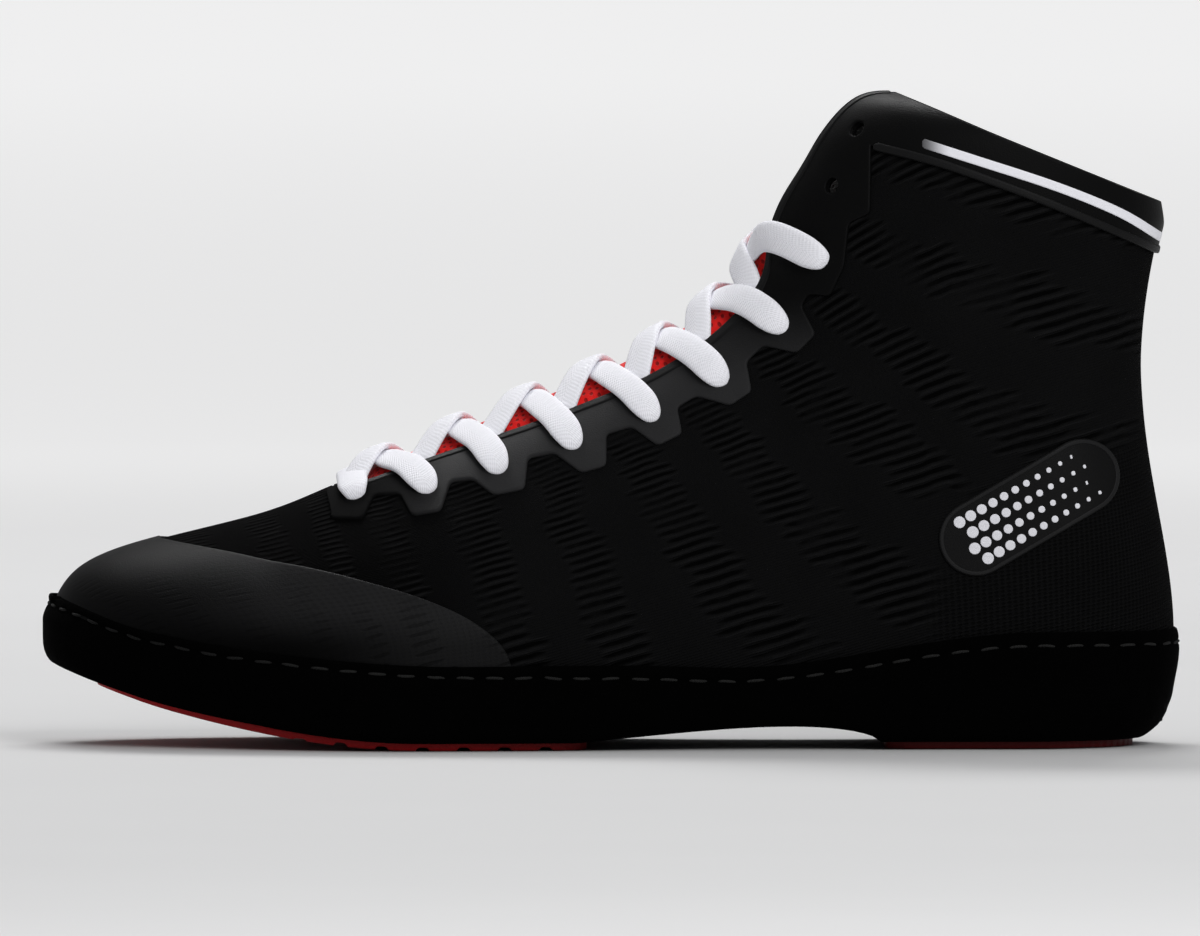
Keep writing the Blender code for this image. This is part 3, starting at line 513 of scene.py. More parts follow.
def panel(rows, span, columns, clear, lift, rim, lining=None, capped=False):
    """Closed sheet on the last that ends where clear falls to nothing.

    Rim lists distances in from the edge with their lifts. The inner face lies at the lining's lift, or just below
    the rim, and a capped sheet is closed at the back seam as well.
    """
    start = rim[0][0]
    s, q, triangles = net(rows, span, columns)
    s, q, triangles = trim(s, q, triangles, lambda a, b: clear(a, b) - start)
    edges = border(triangles)
    seam = (np.abs(q[edges]) > math.pi - 1e-6).all(1)
    back = edges[seam]
    spots, edges = np.unique(edges[~seam], return_inverse=True)
    edges = edges.reshape(-1, 2)
    rim_s, rim_q = s[spots], q[spots]
    free = np.abs(clear(rim_s, rim_q) - start) < ON_EDGE
    all_s, all_q = [s], [q]
    lifts = [np.broadcast_to(np.asarray(lift, float), s.shape)]
    faces = [tuple(row) for row in triangles]
    count = len(s)
    rings = [spots]
    for inset, height in rim[1:]:
        new_s, new_q = slide(rim_s, rim_q, clear, inset)
        all_s.append(np.where(free, new_s, rim_s))
        all_q.append(np.where(free, new_q, rim_q))
        lifts.append(np.full(len(spots), height))
        rings.append(count + np.arange(len(spots)))
        count += len(spots)
    all_s.append(s)
    all_q.append(q)
    lifts.append(np.full(len(s), rim[-1][1] - INNER_FACE if lining is None else lining))
    rings.append(count + spots)
    for upper, lower in zip(rings[:-1], rings[1:]):
        faces += [(upper[b], upper[a], lower[a], lower[b]) for a, b in edges]
    faces += [(count + a, count + c, count + b) for a, b, c in triangles]
    if capped:
        faces += [(b, a, count + a, count + b) for a, b in back]
        corners = np.where(np.isin(spots, back))[0]
        faces += [tuple(ring[k] for ring in rings) for k in corners]
    s, q, lift = np.concatenate(all_s), np.concatenate(all_q), np.concatenate(lifts)
    used = np.unique(np.concatenate([np.array(face) for face in faces]))
    order = np.full(len(s), -1)
    order[used] = np.arange(len(used))
    faces = [tuple(int(order[k]) for k in face) for face in faces]
    s, q, lift = s[used], q[used], lift[used]
    return Sheet(lifted(s, q, lift), faces, s, q, lift)


def full_span(rows):
    return -last_angle(rows, -np.ones(len(rows))), last_angle(rows, np.ones(len(rows)))


def film_rim(top, low=-0.0002):
    """Rim of a bonded film: rolled over its edge and down to the knit."""
    return ((0.00040, top), (0.00012, top - 0.00012), (0.0, top - 0.00036), (0.0, low))


# Pieces
def add_piece(name, points, faces, finish, nodes=()):
    """Smooth piece that rides on the shoe and stands for the named solids."""
    mesh = bpy.data.meshes.new(name)
    mesh.from_pydata(np.asarray(points).tolist(), [], faces)
    mesh.materials.append(finish)
    mesh.shade_smooth()
    piece = bpy.data.objects.new(name, mesh)
    bpy.context.scene.collection.objects.link(piece)
    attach(piece, "root")
    if nodes:
        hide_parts(*nodes)
    return piece


def add_sheet(name, sheet, finish, nodes=()):
    return add_piece(name, sheet.points, sheet.faces, finish, nodes)


def add_weave(piece, values):
    """Stores three values a point, which the piece's finish reads."""
    layer = piece.data.attributes.new("weave", "FLOAT_VECTOR", "POINT")
    layer.data.foreach_set("vector", values.astype(np.float32).ravel())


def mend(piece, weld=False, turn=False):
    """Joins coincident points, as at the back seam, and turns the faces outwards."""
    work = bmesh.new()
    work.from_mesh(piece.data)
    if weld:
        bmesh.ops.remove_doubles(work, verts=work.verts, dist=WELD)
    if turn:
        bmesh.ops.recalc_face_normals(work, faces=work.faces)
    work.to_mesh(piece.data)
    work.free()


def strip_faces(rings, width, closed=True):
    """Quads between rings of points that follow each other."""
    faces = []
    for i in range(rings - 1):
        for j in range(width if closed else width - 1):
            k = (j + 1) % width
            faces.append((i * width + j, i * width + k, (i + 1) * width + k, (i + 1) * width + j))
    return faces


def tube_faces(rings, width, base=0):
    """Tube of rings that follow each other, closed at both ends; base is its first point."""
    faces = strip_faces(rings, width)
    faces += [tuple(range(width)), tuple((rings - 1) * width + k for k in range(width))]
    return [tuple(base + k for k in face) for face in faces]


def rib_faces(pairs, count):
    """Quads between pairs of ribs that follow each other, each of count points and joined at both ends."""
    faces = []
    for i in range(pairs - 1):
        for k in (0, 1):
            a = (2 * i + k) * count
            b = a + 2 * count
            faces += [(a + j, a + j + 1, b + j + 1, b + j) for j in range(count - 1)]
        for j in (0, count - 1):
            a = 2 * i * count + j
            faces.append((a, a + count, a + 3 * count, a + 2 * count))
    return faces


# Finishes
class Wire:
    """Value that runs through a material's nodes and can be reckoned with."""

    def __init__(self, tree, end):
        self.tree = tree
        self.end = end

    def __add__(self, other):
        return calc("ADD", self, other)

    def __sub__(self, other):
        return calc("SUBTRACT", self, other)

    def __rsub__(self, other):
        return calc("SUBTRACT", other, self)

    def __mul__(self, other):
        return calc("MULTIPLY", self, other)

    def __truediv__(self, other):
        return calc("DIVIDE", self, other)


def plug(node, name, value):
    """Sets an input of a node, or leads a wire to it."""
    if isinstance(value, Wire):
        value.tree.links.new(value.end, node.inputs[name])
    else:
        node.inputs[name].default_value = value


def calc(operation, *values):
    tree = next(value.tree for value in values if isinstance(value, Wire))
    node = tree.nodes.new("ShaderNodeMath")
    node.operation = operation
    for k, value in enumerate(values):
        plug(node, k, value)
    return Wire(tree, node.outputs[0])


def rising(value, low, high, first=0.0, final=1.0):
    """Soft step of a value between two limits."""
    node = value.tree.nodes.new("ShaderNodeMapRange")
    node.interpolation_type = "SMOOTHSTEP"
    names = ("Value", "From Min", "From Max", "To Min", "To Max")
    for name, number in zip(names, (value, low, high, first, final)):
        plug(node, name, number)
    return Wire(value.tree, node.outputs["Result"])


def cloud(tree, scale, detail=3.0, roughness=0.55):
    """Noise in the shoe's own metres."""
    node = tree.nodes.new("ShaderNodeTexNoise")
    for name, value in (("Scale", scale), ("Detail", detail), ("Roughness", roughness)):
        node.inputs[name].default_value = value
    tree.links.new(tree.nodes.new("ShaderNodeTexCoord").outputs["Object"], node.inputs["Vector"])
    return Wire(tree, node.outputs["Fac"])


def tint(factor, first, final):
    """Colour between two others."""
    node = factor.tree.nodes.new("ShaderNodeMix")
    node.data_type = "RGBA"
    plug(node, "Factor", factor)
    for name, colour in (("A", first), ("B", final)):
        slot = [item for item in node.inputs if item.name == name and item.type == "RGBA"][0]
        if isinstance(colour, Wire):
            factor.tree.links.new(colour.end, slot)
        else:
            slot.default_value = (*colour, 1.0)
    return Wire(factor.tree, [item for item in node.outputs if item.type == "RGBA"][0])


def parts(tree, vector):
    node = tree.nodes.new("ShaderNodeSeparateXYZ")
    tree.links.new(vector, node.inputs["Vector"])
    return [Wire(tree, node.outputs[name]) for name in "XYZ"]


def weave_at(tree):
    """The three values that a piece stores at its points."""
    node = tree.nodes.new("ShaderNodeAttribute")
    node.attribute_name = "weave"
    return parts(tree, node.outputs["Vector"])


def place_of(tree):
    """The shoe's own x, y and z."""
    return parts(tree, tree.nodes.new("ShaderNodeTexCoord").outputs["Object"])


def finish(name, roughness, **values):
    """New material with its even values set on the shader itself."""
    made = bpy.data.materials.new(name)
    made.use_nodes = True
    shader = made.node_tree.nodes["Principled BSDF"]
    shader.inputs["Roughness"].default_value = roughness
    for key, value in values.items():
        shader.inputs[key.replace("_", " ")].default_value = value
    return made, made.node_tree, shader


def coat(shader, colour, height, depth, strength):
    """Gives a material its colour and its fine relief."""
    bump = height.tree.nodes.new("ShaderNodeBump")
    bump.inputs["Distance"].default_value = depth
    bump.inputs["Strength"].default_value = strength
    plug(bump, "Height", height)
    plug(shader, "Base Color", colour)
    plug(shader, "Normal", Wire(height.tree, bump.outputs["Normal"]))


def shade(colour, factor):
    return tuple(channel * factor for channel in colour)


def slits(tree):
    """Slanted slits of the knit in drifting bands, the ridges between them, the courses and the plain part."""
    band, row, plain = weave_at(tree)
    band = band + (cloud(tree, 45.0, 2.0) - 0.5) * 0.14
    line = row + (cloud(tree, 110.0, 2.0) - 0.5) * 0.5
    uneven = tree.nodes.new("ShaderNodeTexWhiteNoise")
    uneven.noise_dimensions = "2D"
    spot = tree.nodes.new("ShaderNodeCombineXYZ")
    plug(spot, "X", calc("FLOOR", line))
    plug(spot, "Y", calc("FLOOR", band))
    tree.links.new(spot.outputs["Vector"], uneven.inputs["Vector"])
    shift = (Wire(tree, uneven.outputs["Value"]) - 0.5) * 0.17
    off = calc("ABSOLUTE", calc("FRACT", band) - 0.5 + shift)
    rise = (calc("FRACT", line) - 0.5) / 0.21
    rise = rise * rise
    oval = calc("POWER", off / 0.27, 3.0) + rise
    fading = rising(cloud(tree, 75.0, 3.0), 0.30, 0.56, 0.25, 1.0)
    seen = fading * (1.0 - plain)
    slit = rising(oval, 1.1, 0.25) * seen
    lip = rising(rise, 1.3, 4.0) * rising(off, 0.29, 0.17) * seen
    course = calc("SINE", row * (2.0 * math.pi * 4.0))
    return slit, lip, course, plain


def lattice(tree):
    """Fine slanted lattice of the knit's plain parts."""
    x, y, z = place_of(tree)
    round_heel = x + calc("ABSOLUTE", y)
    first, second = (calc("SINE", round_heel * a + z * b) for a, b in ((2300.0, 3000.0), (-1500.0, 3300.0)))
    return rising(first * second, -0.2, 0.7)


def knit_finish(colours):
    made, tree, shader = finish("black_knit", 0.9, Specular_IOR_Level=0.012)
    slit, lip, course, plain = slits(tree)
    holes = lattice(tree) * plain
    fuzz = cloud(tree, 1500.0, 4.0, 0.6)
    x, _, _ = place_of(tree)
    base = tint(cloud(tree, 60.0, 3.0), shade(colours.knit, 0.75), shade(colours.knit, 1.25))
    # Painted shade: the knit darkens towards the slit colour over its front, on the vamp.
    base = tint(rising(x, from_heel(160.0), from_heel(212.0), 0.0, 0.8), base, colours.slit)
    base = tint(fuzz * 0.55, base, shade(colours.knit, 0.45))
    # Painted highlight: the lip below each slit is lightened as if lit.
    base = tint(lip * 0.55, base, shade(colours.knit, 2.0))
    # Painted shade: the lattice's holes and the slits are darkened towards the slit colour.
    base = tint(holes * 0.45, base, colours.slit)
    colour = tint(slit * 0.85, base, colours.slit)
    height = course * 0.12 + fuzz * 0.55 - slit * 1.1 + lip * 0.6 - holes * 0.4
    coat(shader, colour, height, 0.0006, 0.9)
    return made


def film_finish(colours, name="matte_film", bright=1.0, gloss=0.075, lower=None):
    """Bonded film, which may be greyer in its lower part."""
    made, tree, shader = finish(name, 0.48, Specular_IOR_Level=gloss)
    broad = cloud(tree, 70.0, 3.0)
    colour = tint(broad, shade(colours.film, 0.85 * bright), shade(colours.film, 1.15 * bright))
    if lower is not None:
        grey = tint(broad, shade(colours.film, 0.9 * lower), shade(colours.film, 1.1 * lower))
        x, _, high = place_of(tree)
        front = rising(x, from_heel(178.0), from_heel(206.0))
        # Painted shade: the grey lower part darkens towards the front of the stay.
        grey = tint(front, grey, shade(colours.film, 0.8))
        colour = tint(rising(high, 0.090, 0.116), grey, colour)
        plug(shader, "Roughness", rising(front, 0.0, 1.0, 0.48, 0.95))
    coat(shader, colour, cloud(tree, 2600.0, 3.0, 0.6) * 0.6 + broad * 0.6, 0.00018, 0.7)
    return made


def cap_finish(colours):
    """Film over the toe, with the knit's slits showing faintly through its lower part, a painted highlight over
    its middle and painted shade towards the toe and low down.
    """
    made, tree, shader = finish("toe_film", 0.46, Specular_IOR_Level=0.028)
    slit, _, _, _ = slits(tree)
    x, _, high = place_of(tree)
    faint = slit * rising(high, 0.046, 0.030)
    # Painted highlight: the cap is painted several times lighter than the other films.
    base = tint(cloud(tree, 55.0, 3.0), shade(colours.film, 4.2), shade(colours.film, 5.0))
    # Painted shade: darker towards the toe.
    base = tint(rising(x, from_heel(212.0), from_heel(258.0)), base, shade(colours.film, 1.5))
    shaded = rising(high, 0.037, 0.025) * rising(x, from_heel(178.0), from_heel(226.0), 0.4, 1.0)
    base = tint(shaded, base, shade(colours.film, 0.3))
    base = tint(lattice(tree) * 0.22, base, shade(colours.film, 0.6))
    colour = tint(faint * 0.45, base, shade(colours.film, 0.25))
    coat(shader, colour, cloud(tree, 2400.0, 3.0, 0.6) * 0.5 - faint * 0.6, 0.00022, 0.75)
    return made


def wrap_finish(colours):
    """Napped leather: soft, uneven and almost without gloss."""
    made, tree, shader = finish("napped_wrap", 0.95, Specular_IOR_Level=0.012)
    nap = cloud(tree, 1900.0, 5.0, 0.65)
    brushed = cloud(tree, 130.0, 4.0, 0.6)
    base = tint(brushed, shade(colours.wrap, 0.6), shade(colours.wrap, 1.6))
    colour = tint(rising(nap, 0.55, 0.8), base, shade(colours.wrap, 2.6))
    coat(shader, colour, nap + brushed * 0.8, 0.00035, 0.8)
    return made


def rubber_finish(colours):
    """Red rubber, painted dark towards the heel as shade."""
    made, tree, shader = finish("red_rubber", 0.55, Specular_IOR_Level=0.2)
    x, y, _ = place_of(tree)
    wave = calc("SINE", x * 2400.0 + y * 900.0)
    colour = tint(cloud(tree, 90.0, 4.0), shade(colours.rubber, 0.75), shade(colours.rubber, 1.15))
    # Painted shade: the rubber turns nearly black towards the heel, as if in the shoe's contact shadow.
    unshaded = rising(x, from_heel(130.0), from_heel(200.0), 0.2, 1.0)
    colour = tint(unshaded, shade(colours.rubber, 0.06), colour)
    coat(shader, colour, wave * 0.5 + cloud(tree, 1500.0, 3.0), 0.0003, 0.6)
    return made


def mesh_finish(colours):
    """Open tongue mesh: rows of small round holes in red yarn."""
    made, tree, shader = finish("tongue_mesh", 0.8, Specular_IOR_Level=0.25, Sheen_Weight=0.12)
    across, run, shaded_margin = weave_at(tree)
    stagger = calc("MODULO", calc("FLOOR", run), 2.0) * 0.5
    a = calc("FRACT", across + stagger) - 0.5
    b = calc("FRACT", run) - 0.5
    hole = rising(calc("SQRT", a * a + b * b), 0.31, 0.15)
    fuzz = cloud(tree, 1800.0, 3.0)
    base = tint(fuzz, shade(colours.tongue, 0.9), shade(colours.tongue, 1.1))
    colour = tint(hole, base, shade(colours.tongue, 0.38))
    # Painted shade: the margin hidden under the eyestays is near-black.
    coat(shader, tint(shaded_margin, colour, colours.slit), fuzz * 0.3 - hole, 0.0005, 0.8)
    return made


def cotton_finish(colours):
    """Flat woven lace: slanted ribs that meet along its middle."""
    made, tree, shader = finish(
        "white_cotton", 0.88, Specular_IOR_Level=0.2, Sheen_Weight=0.15, Sheen_Roughness=0.4
    )
    run, across, _ = weave_at(tree)
    slope = run - calc("ABSOLUTE", across) * 0.8
    rib = calc("SINE", slope * (2.0 * math.pi / 0.0011))
    weave = rib * calc("SINE", across * (2.0 * math.pi / 0.0009))
    base = tint(rising(weave, -0.9, 0.2), shade(colours.lace, 0.90), colours.lace)
    colour = tint(cloud(tree, 260.0, 3.0) * 0.25, base, shade(colours.lace, 0.82))
    coat(shader, colour, weave * 0.6 + cloud(tree, 2200.0, 3.0), 0.00012, 0.7)
    return made


def thread_finish(colours):
    made, tree, shader = finish("grey_thread", 0.75, Specular_IOR_Level=0.15)
    x, y, z = place_of(tree)
    twist = calc("SINE", (x + (y + z)) * 9000.0)
    colour = tint(cloud(tree, 900.0), shade(colours.thread, 0.6), shade(colours.thread, 1.3))
    # The thread is painted darker towards the toe.
    fading = rising(x, from_heel(190.0), from_heel(265.0), 0.0, 0.85)
    coat(shader, tint(fading, colour, shade(colours.thread, 0.12)), twist, 0.00008, 0.8)
    return made


def footbed_finish(colours):
    made, tree, shader = finish("footbed_cloth", 0.92, Specular_IOR_Level=0.08)
    x, y, _ = place_of(tree)
    fuzz = cloud(tree, 1400.0, 3.0)
    colour = tint(fuzz, shade(colours.knit, 0.9), shade(colours.knit, 2.2))
    height = calc("SINE", x * 5200.0) * calc("SINE", y * 5200.0) + fuzz
    coat(shader, colour, height, 0.00025, 0.7)
    return made


def stripe_finish(colours):
    """White print that fades in over its first few millimetres."""
    made, tree, shader = finish("white_print", 0.42, Specular_IOR_Level=0.4)
    x, _, _ = place_of(tree)
    fade = rising(x, from_heel(58.0), from_heel(65.5), 1.0, 0.12)
    speck = cloud(tree, 1600.0, 3.0)
    white = tint(speck, shade(colours.white, 0.9), colours.white)
    coat(shader, tint(fade, colours.film, white), speck, 0.00005, 0.5)
    return made


def print_finish(colours):
    made, tree, shader = finish("patch_print", 0.42, Specular_IOR_Level=0.3)
    speck = cloud(tree, 1600.0, 3.0)
    coat(shader, tint(speck, shade(colours.white, 0.75), shade(colours.white, 0.95)), speck, 0.00005, 0.5)
    return made


# Sizes and colours that a user would change
def size_property(name, words, value):
    return FloatProperty(name=name, description=words, default=value, unit="LENGTH")


class ShoeSizes(bpy.types.PropertyGroup):
    film: size_property("Film", "Thickness of the bonded film", 0.0008)
    binding: size_property("Binding", "Width of the throat binding", 0.0019)
    lace_width: size_property("Lace width", "Width of the flat lace", 0.0079)
    lace: size_property("Lace", "Thickness of the flat lace", 0.0021)
    stitch: size_property("Stitch", "Length of one stitch", 0.0046)
    stitch_pitch: size_property("Stitch pitch", "From one stitch to the next", 0.0073)
    stitch_drop: size_property("Stitch drop", "Stitch row below the wrap's top edge", 0.0034)
    thread: size_property("Thread", "Thickness of the stitching thread", 0.0008)
    stripe: size_property("Stripe", "Width of the collar's white print", 0.0025)
    patch: size_property("Patch", "Half width of the heel's film patch", 0.0095)


def colour_property(name, words, value):
    return FloatVectorProperty(
        name=name, description=words, subtype="COLOR", size=3, min=0.0, max=1.0, default=value
    )


class ShoeColours(bpy.types.PropertyGroup):
    knit: colour_property("Knit", "Yarn of the upper", (0.0052, 0.0052, 0.0054))
    # Near-black used as painted shade: in the knit's slits and holes, over the knit's front and on the tongue's
    # hidden margin.
    slit: colour_property("Slit", "Depth of the knit's slits", (0.0004, 0.0004, 0.0004))
    film: colour_property("Film", "Bonded film panels", (0.0029, 0.0029, 0.0030))
    wrap: colour_property("Wrap", "Napped wrap of the sole", (0.0005, 0.0005, 0.0005))
    thread: colour_property("Thread", "Stitching thread", (0.011, 0.011, 0.0106))
    rubber: colour_property("Rubber", "Red outsole", (0.33, 0.004, 0.006))
    tongue: colour_property("Tongue", "Red tongue mesh", (0.90, 0.016, 0.014))
    lace: colour_property("Lace", "White cotton lace", (0.89, 0.89, 0.94))
    white: colour_property("White", "White print on the films", (0.84, 0.84, 0.89))


def hole_centres():
    """Middle of every lace hole on both sides, with its section and half width."""
    spots = [locate(x, z)[:2] for x, z in EYELETS]
    s = np.array([spot[0] for spot in spots] * 2)
    y = np.array([spot[1] for spot in spots] + [-spot[1] for spot in spots])
    return spots, list(skin(s, angle_at(s, y)))


def weave_of(sheet, inner=None):
    """Band, row and plain part of the knit at a sheet's points; its inner side is plain too."""
    s = sheet.s
    points = skin(s, sheet.q)
    heel = points[:, 0] + CENTRE_X
    y = off_middle(points, s)
    high = points[:, 2] + np.where(np.abs(sheet.q) < math.pi / 2, 0.8 * (half_width(s, sheet.q) - y), 0.0)
    top_x, top_z, _, _ = spine(s)
    marks = np.array([locate(x, z) for x, z in BANDS])
    depth = np.hypot(heel - top_x, points[:, 2] - top_z) - np.interp(s, marks[:, 0], marks[:, 2])
    ahead, behind = spine(s + 0.05), spine(s - 0.05)
    steps = [0.65 * (ahead[k] - behind[k]) + 0.35 * (ahead[k + 2] - behind[k + 2]) for k in (0, 1)]
    stride = np.hypot(*steps) / 0.1
    lean = 0.15 + 0.17 * smooth_step(s, 7.5, 11.0) - 0.30 * smooth_step(s, 16.0, 18.6)
    place = s - lean * depth / stride
    band = np.interp(place, marks[:, 0], np.arange(len(marks)))
    band = np.where(place < marks[0, 0], (place - marks[0, 0]) / (marks[1, 0] - marks[0, 0]), band)
    beyond = (place - marks[-1, 0]) / (marks[-1, 0] - marks[-2, 0])
    band = np.where(beyond > 0.0, len(marks) - 1 + beyond, band)
    row = (high + 0.29 * heel) / (2.8 * MM)
    x, z = side_view(points)
    plain = smooth_step(47.0 + 0.7 * (58.0 - x) - z, -5.0, 5.0) * smooth_step(68.0 - x, 0.0, 10.0)
    if inner is not None:
        plain = np.maximum(plain, inner)
    return np.stack([band + 0.5, row, plain], -1)


class SHOE_OT_upper(bpy.types.Operator):
    """Knit upper on the last, open at the throat, collar and underneath"""

    bl_idname = "shoe.upper"
    bl_label = "Knit upper"

    def execute(self, context):
        _, centres = hole_centres()

        def clear(s, q):
            edge = np.minimum(throat_clear(s, q), collar_clear(s, q))
            return np.minimum(edge, hole_clear(skin(s, q), centres, EYELET_RADIUS))

        front = THROAT_FRONT + THROAT_ROUND * np.linspace(-1.0, 1.0, 25)
        rows = np.concatenate([np.linspace(0.0, 5.4, 64), front, np.linspace(6.62, 20.06, 150)])
        rim = ((0.0006, 0.0), (0.0002, -0.0002), (0.0, -0.0007), (0.0, -0.0013), (0.0002, -0.0018))
        sheet = panel(np.unique(rows), full_span, 150, clear, 0.0, rim, -WALL)
        piece = add_sheet("knit_upper", sheet, knit_finish(context.scene.shoe_colours), ("upper",))
        add_weave(piece, weave_of(sheet, (sheet.lift < -0.001).astype(float)))
        mend(piece, weld=True)
        return {"FINISHED"}


Ray = namedtuple("Ray", "origin way")


def ribs(fan, side_steps):
    """Pairs of level rays, lateral and medial, from the heel tip round to the toe tip."""
    heel = 0.118 * LENGTH - CENTRE_X
    toe = 0.806 * LENGTH - CENTRE_X
    spots = [(heel, -math.cos(k * math.pi / 2 / fan), -0.001) for k in range(fan)]
    for k in range(side_steps):
        share = k / side_steps
        spots.append((heel + (toe - heel) * share, 0.0, -0.001 - 0.005 * share))
    spots += [(toe, math.sin(k * math.pi / 2 / fan), -0.006) for k in range(fan + 1)]
    pairs = []
    for x, lean, y in spots:
        across = math.sqrt(max(1.0 - lean * lean, 0.0))
        pairs.append([Ray(Vector((x, y, 0.0)), Vector((lean, side * across, 0.0))) for side in (1, -1)])
    return pairs


def reach(tree, ray, z, from_outside=True):
    """Level distance along a ray to the knit's outer or inner face, looking higher where it has no wall."""
    for step in range(60):
        start = Vector((ray.origin.x, ray.origin.y, z + step * 0.0004))
        if from_outside:
            hit = tree.ray_cast(start + ray.way * RAY_START, -ray.way)
            if hit[0] is not None and hit[3] < RAY_START:
                return RAY_START - hit[3]
        else:
            hit = tree.ray_cast(start, ray.way)
            if hit[0] is not None:
                return hit[3]
    raise ValueError("no wall on a sole ray")


def tree_of(name):
    return BVHTree.FromObject(bpy.data.objects[name], bpy.context.evaluated_depsgraph_get())


def spot_on(ray, distance, z):
    return (ray.origin.x + ray.way.x * distance, ray.origin.y + ray.way.y * distance, z)


def wrap_profile(tree, ray, drop):
    """Wall of the wrap on one ray: up its inside, over the rolled top, down its face and under."""
    behind, ahead = max(-ray.way.x, 0.0), max(ray.way.x, 0.0)
    gap = CUP_GAP * (1.0 - 0.8 * behind) - 0.0004 * ahead
    thick = CUP_WALL * (1.0 - 0.35 * behind)
    x = ray.origin.x + ray.way.x * reach(tree, ray, 0.022)
    for _ in range(3):
        under = float(under_at(x))
        x = ray.origin.x + ray.way.x * (reach(tree, ray, under + FLOOR + 0.001) + gap)
    floor = under + FLOOR
    top = cup_top_at(ray.origin.x + ray.way.x * reach(tree, ray, cup_top_at(x)))
    sewn = top - drop * (1.0 - 0.34 * float(smooth_step(x + CENTRE_X, 0.40 * LENGTH, 0.80 * LENGTH)))
    low = max(reach(tree, ray, floor + 0.001 * k) for k in range(4)) + gap
    high = reach(tree, ray, floor + WALL_BEND) + gap

    def wall(z):
        if z >= floor + WALL_BEND:
            return reach(tree, ray, z) + gap
        return low + (max(high, low) - low) * max(z - floor, 0.0) / WALL_BEND

    inside = [floor, floor + 0.003, (floor + top) / 2, top - 0.0008]
    profile = [spot_on(ray, wall(z), z) for z in inside]
    edge = wall(top) - 0.0003
    for out, down in ((0.0, 0.0003), (0.0004, 0.0), (0.0010, -0.00005), (0.0015, 0.0002), (0.0018, 0.0008)):
        profile.append(spot_on(ray, edge + out * (thick / CUP_WALL - 0.45 * ahead), top - down))
    for z in np.linspace(top - 0.0015, floor + 0.0024, 22):
        groove = 0.00045 * math.exp(-((z - sewn) / 0.0006) ** 2)
        swell = (CUP_EDGE + (CUP_WALL - CUP_EDGE) * float(smooth_step(top - z, 0.0, 0.006))) * thick / CUP_WALL
        tuck = 0.0008 * behind * (1.0 - float(smooth_step(z, floor + 0.002, floor + 0.007)))
        tuck += 0.0009 * ahead * float(smooth_step(z, top - 0.0065, top - 0.0015))
        profile.append(spot_on(ray, wall(z) + swell - groove - tuck, z))
    lip = 0.0009 + 0.0010 * ahead
    for out, up, tuck in (
        (0.99, 0.0040, 0.0011), (0.95, 0.0021, 0.0024), (0.82, 0.0007, 0.0038), (0.58, -0.35 * lip, 0.0048),
        (0.26, -0.9 * lip, 0.0054), (-0.04, -lip, 0.0057), (-0.22, -0.6 * lip, 0.0058),
    ):
        profile.append(spot_on(ray, low + thick * out - tuck * behind, under + up))
    profile.append(spot_on(ray, low - 0.0008 - 0.0058 * behind, under))
    profile.append(spot_on(ray, low - 0.0050 - 0.0058 * behind, under))
    return profile, sewn


class SHOE_OT_wrap(bpy.types.Operator):
    """Napped wrap of the sole with its row of stitches"""

    bl_idname = "shoe.wrap"
    bl_label = "Sole wrap"

    def execute(self, context):
        sizes = context.scene.shoe_sizes
        tree = tree_of("knit_upper")
        pairs = ribs(36, 90)
        walls = [[wrap_profile(tree, ray, sizes.stitch_drop) for ray in pair] for pair in pairs]
        points = [point for pair in walls for profile, _ in pair for point in profile]
        faces = rib_faces(len(walls), len(walls[0][0][0]))
        colours = context.scene.shoe_colours
        piece = add_piece("sole_wrap", points, faces, wrap_finish(colours), ("sole_cup",))
        mend(piece, weld=True, turn=True)
        self.sew(pairs, walls, colours, sizes)
        return {"FINISHED"}

    def sew(self, pairs, walls, colours, sizes):
        """Row of thread stitches all round the wrap, below its top edge."""
        face = tree_of("sole_wrap")
        order = [(i, 0) for i in range(len(pairs))] + [(i, 1) for i in range(len(pairs) - 2, 0, -1)]
        line = []
        normals = []
        for i, k in order + order[:1]:
            ray, sewn = pairs[i][k], walls[i][k][1]
            start = Vector((ray.origin.x, ray.origin.y, sewn)) + ray.way * RAY_START
            hit = face.ray_cast(start, -ray.way)
            line.append(hit[0])
            normals.append(hit[1])
        line = np.array([tuple(point) for point in line])
        normals = np.array([tuple(normal) for normal in normals])
        length = length_along(line)
        total = int(length[-1] / sizes.stitch_pitch)
        pitch = length[-1] / total
        points, faces = [], []
        share = np.linspace(0.0, 1.0, 9)
        sides = 6
        draw = np.random.default_rng(7)
        for n in range(total):
            at = n * pitch + sizes.stitch * share + draw.normal(0.0, 0.00012)
            path = np.stack([np.interp(at, length, line[:, k]) for k in range(3)], -1)
            out = unit(np.stack([np.interp(at, length, normals[:, k]) for k in range(3)], -1))
            arch = (np.sin(math.pi * share) ** 0.5 * 0.00055 - 0.0003)[:, None]
            path = path + out * arch
            path[:, 2] += (share - 0.5) * draw.normal(0.0, 0.00025)
            run = unit(np.gradient(path, axis=0))
            side = unit(np.cross(run, out))
            base = len(points)
            for k in range(len(share)):
                for m in range(sides):
                    turn = m * 2.0 * math.pi / sides
                    radius = sizes.thread / 2 * (0.75 + 0.25 * math.sin(math.pi * share[k]))
                    points.append(path[k] + side[k] * radius * math.cos(turn) + out[k] * radius * math.sin(turn))
            faces += tube_faces(len(share), sides, base)
        piece = add_piece("wrap_stitches", points, faces, thread_finish(colours))
        mend(piece, turn=True)


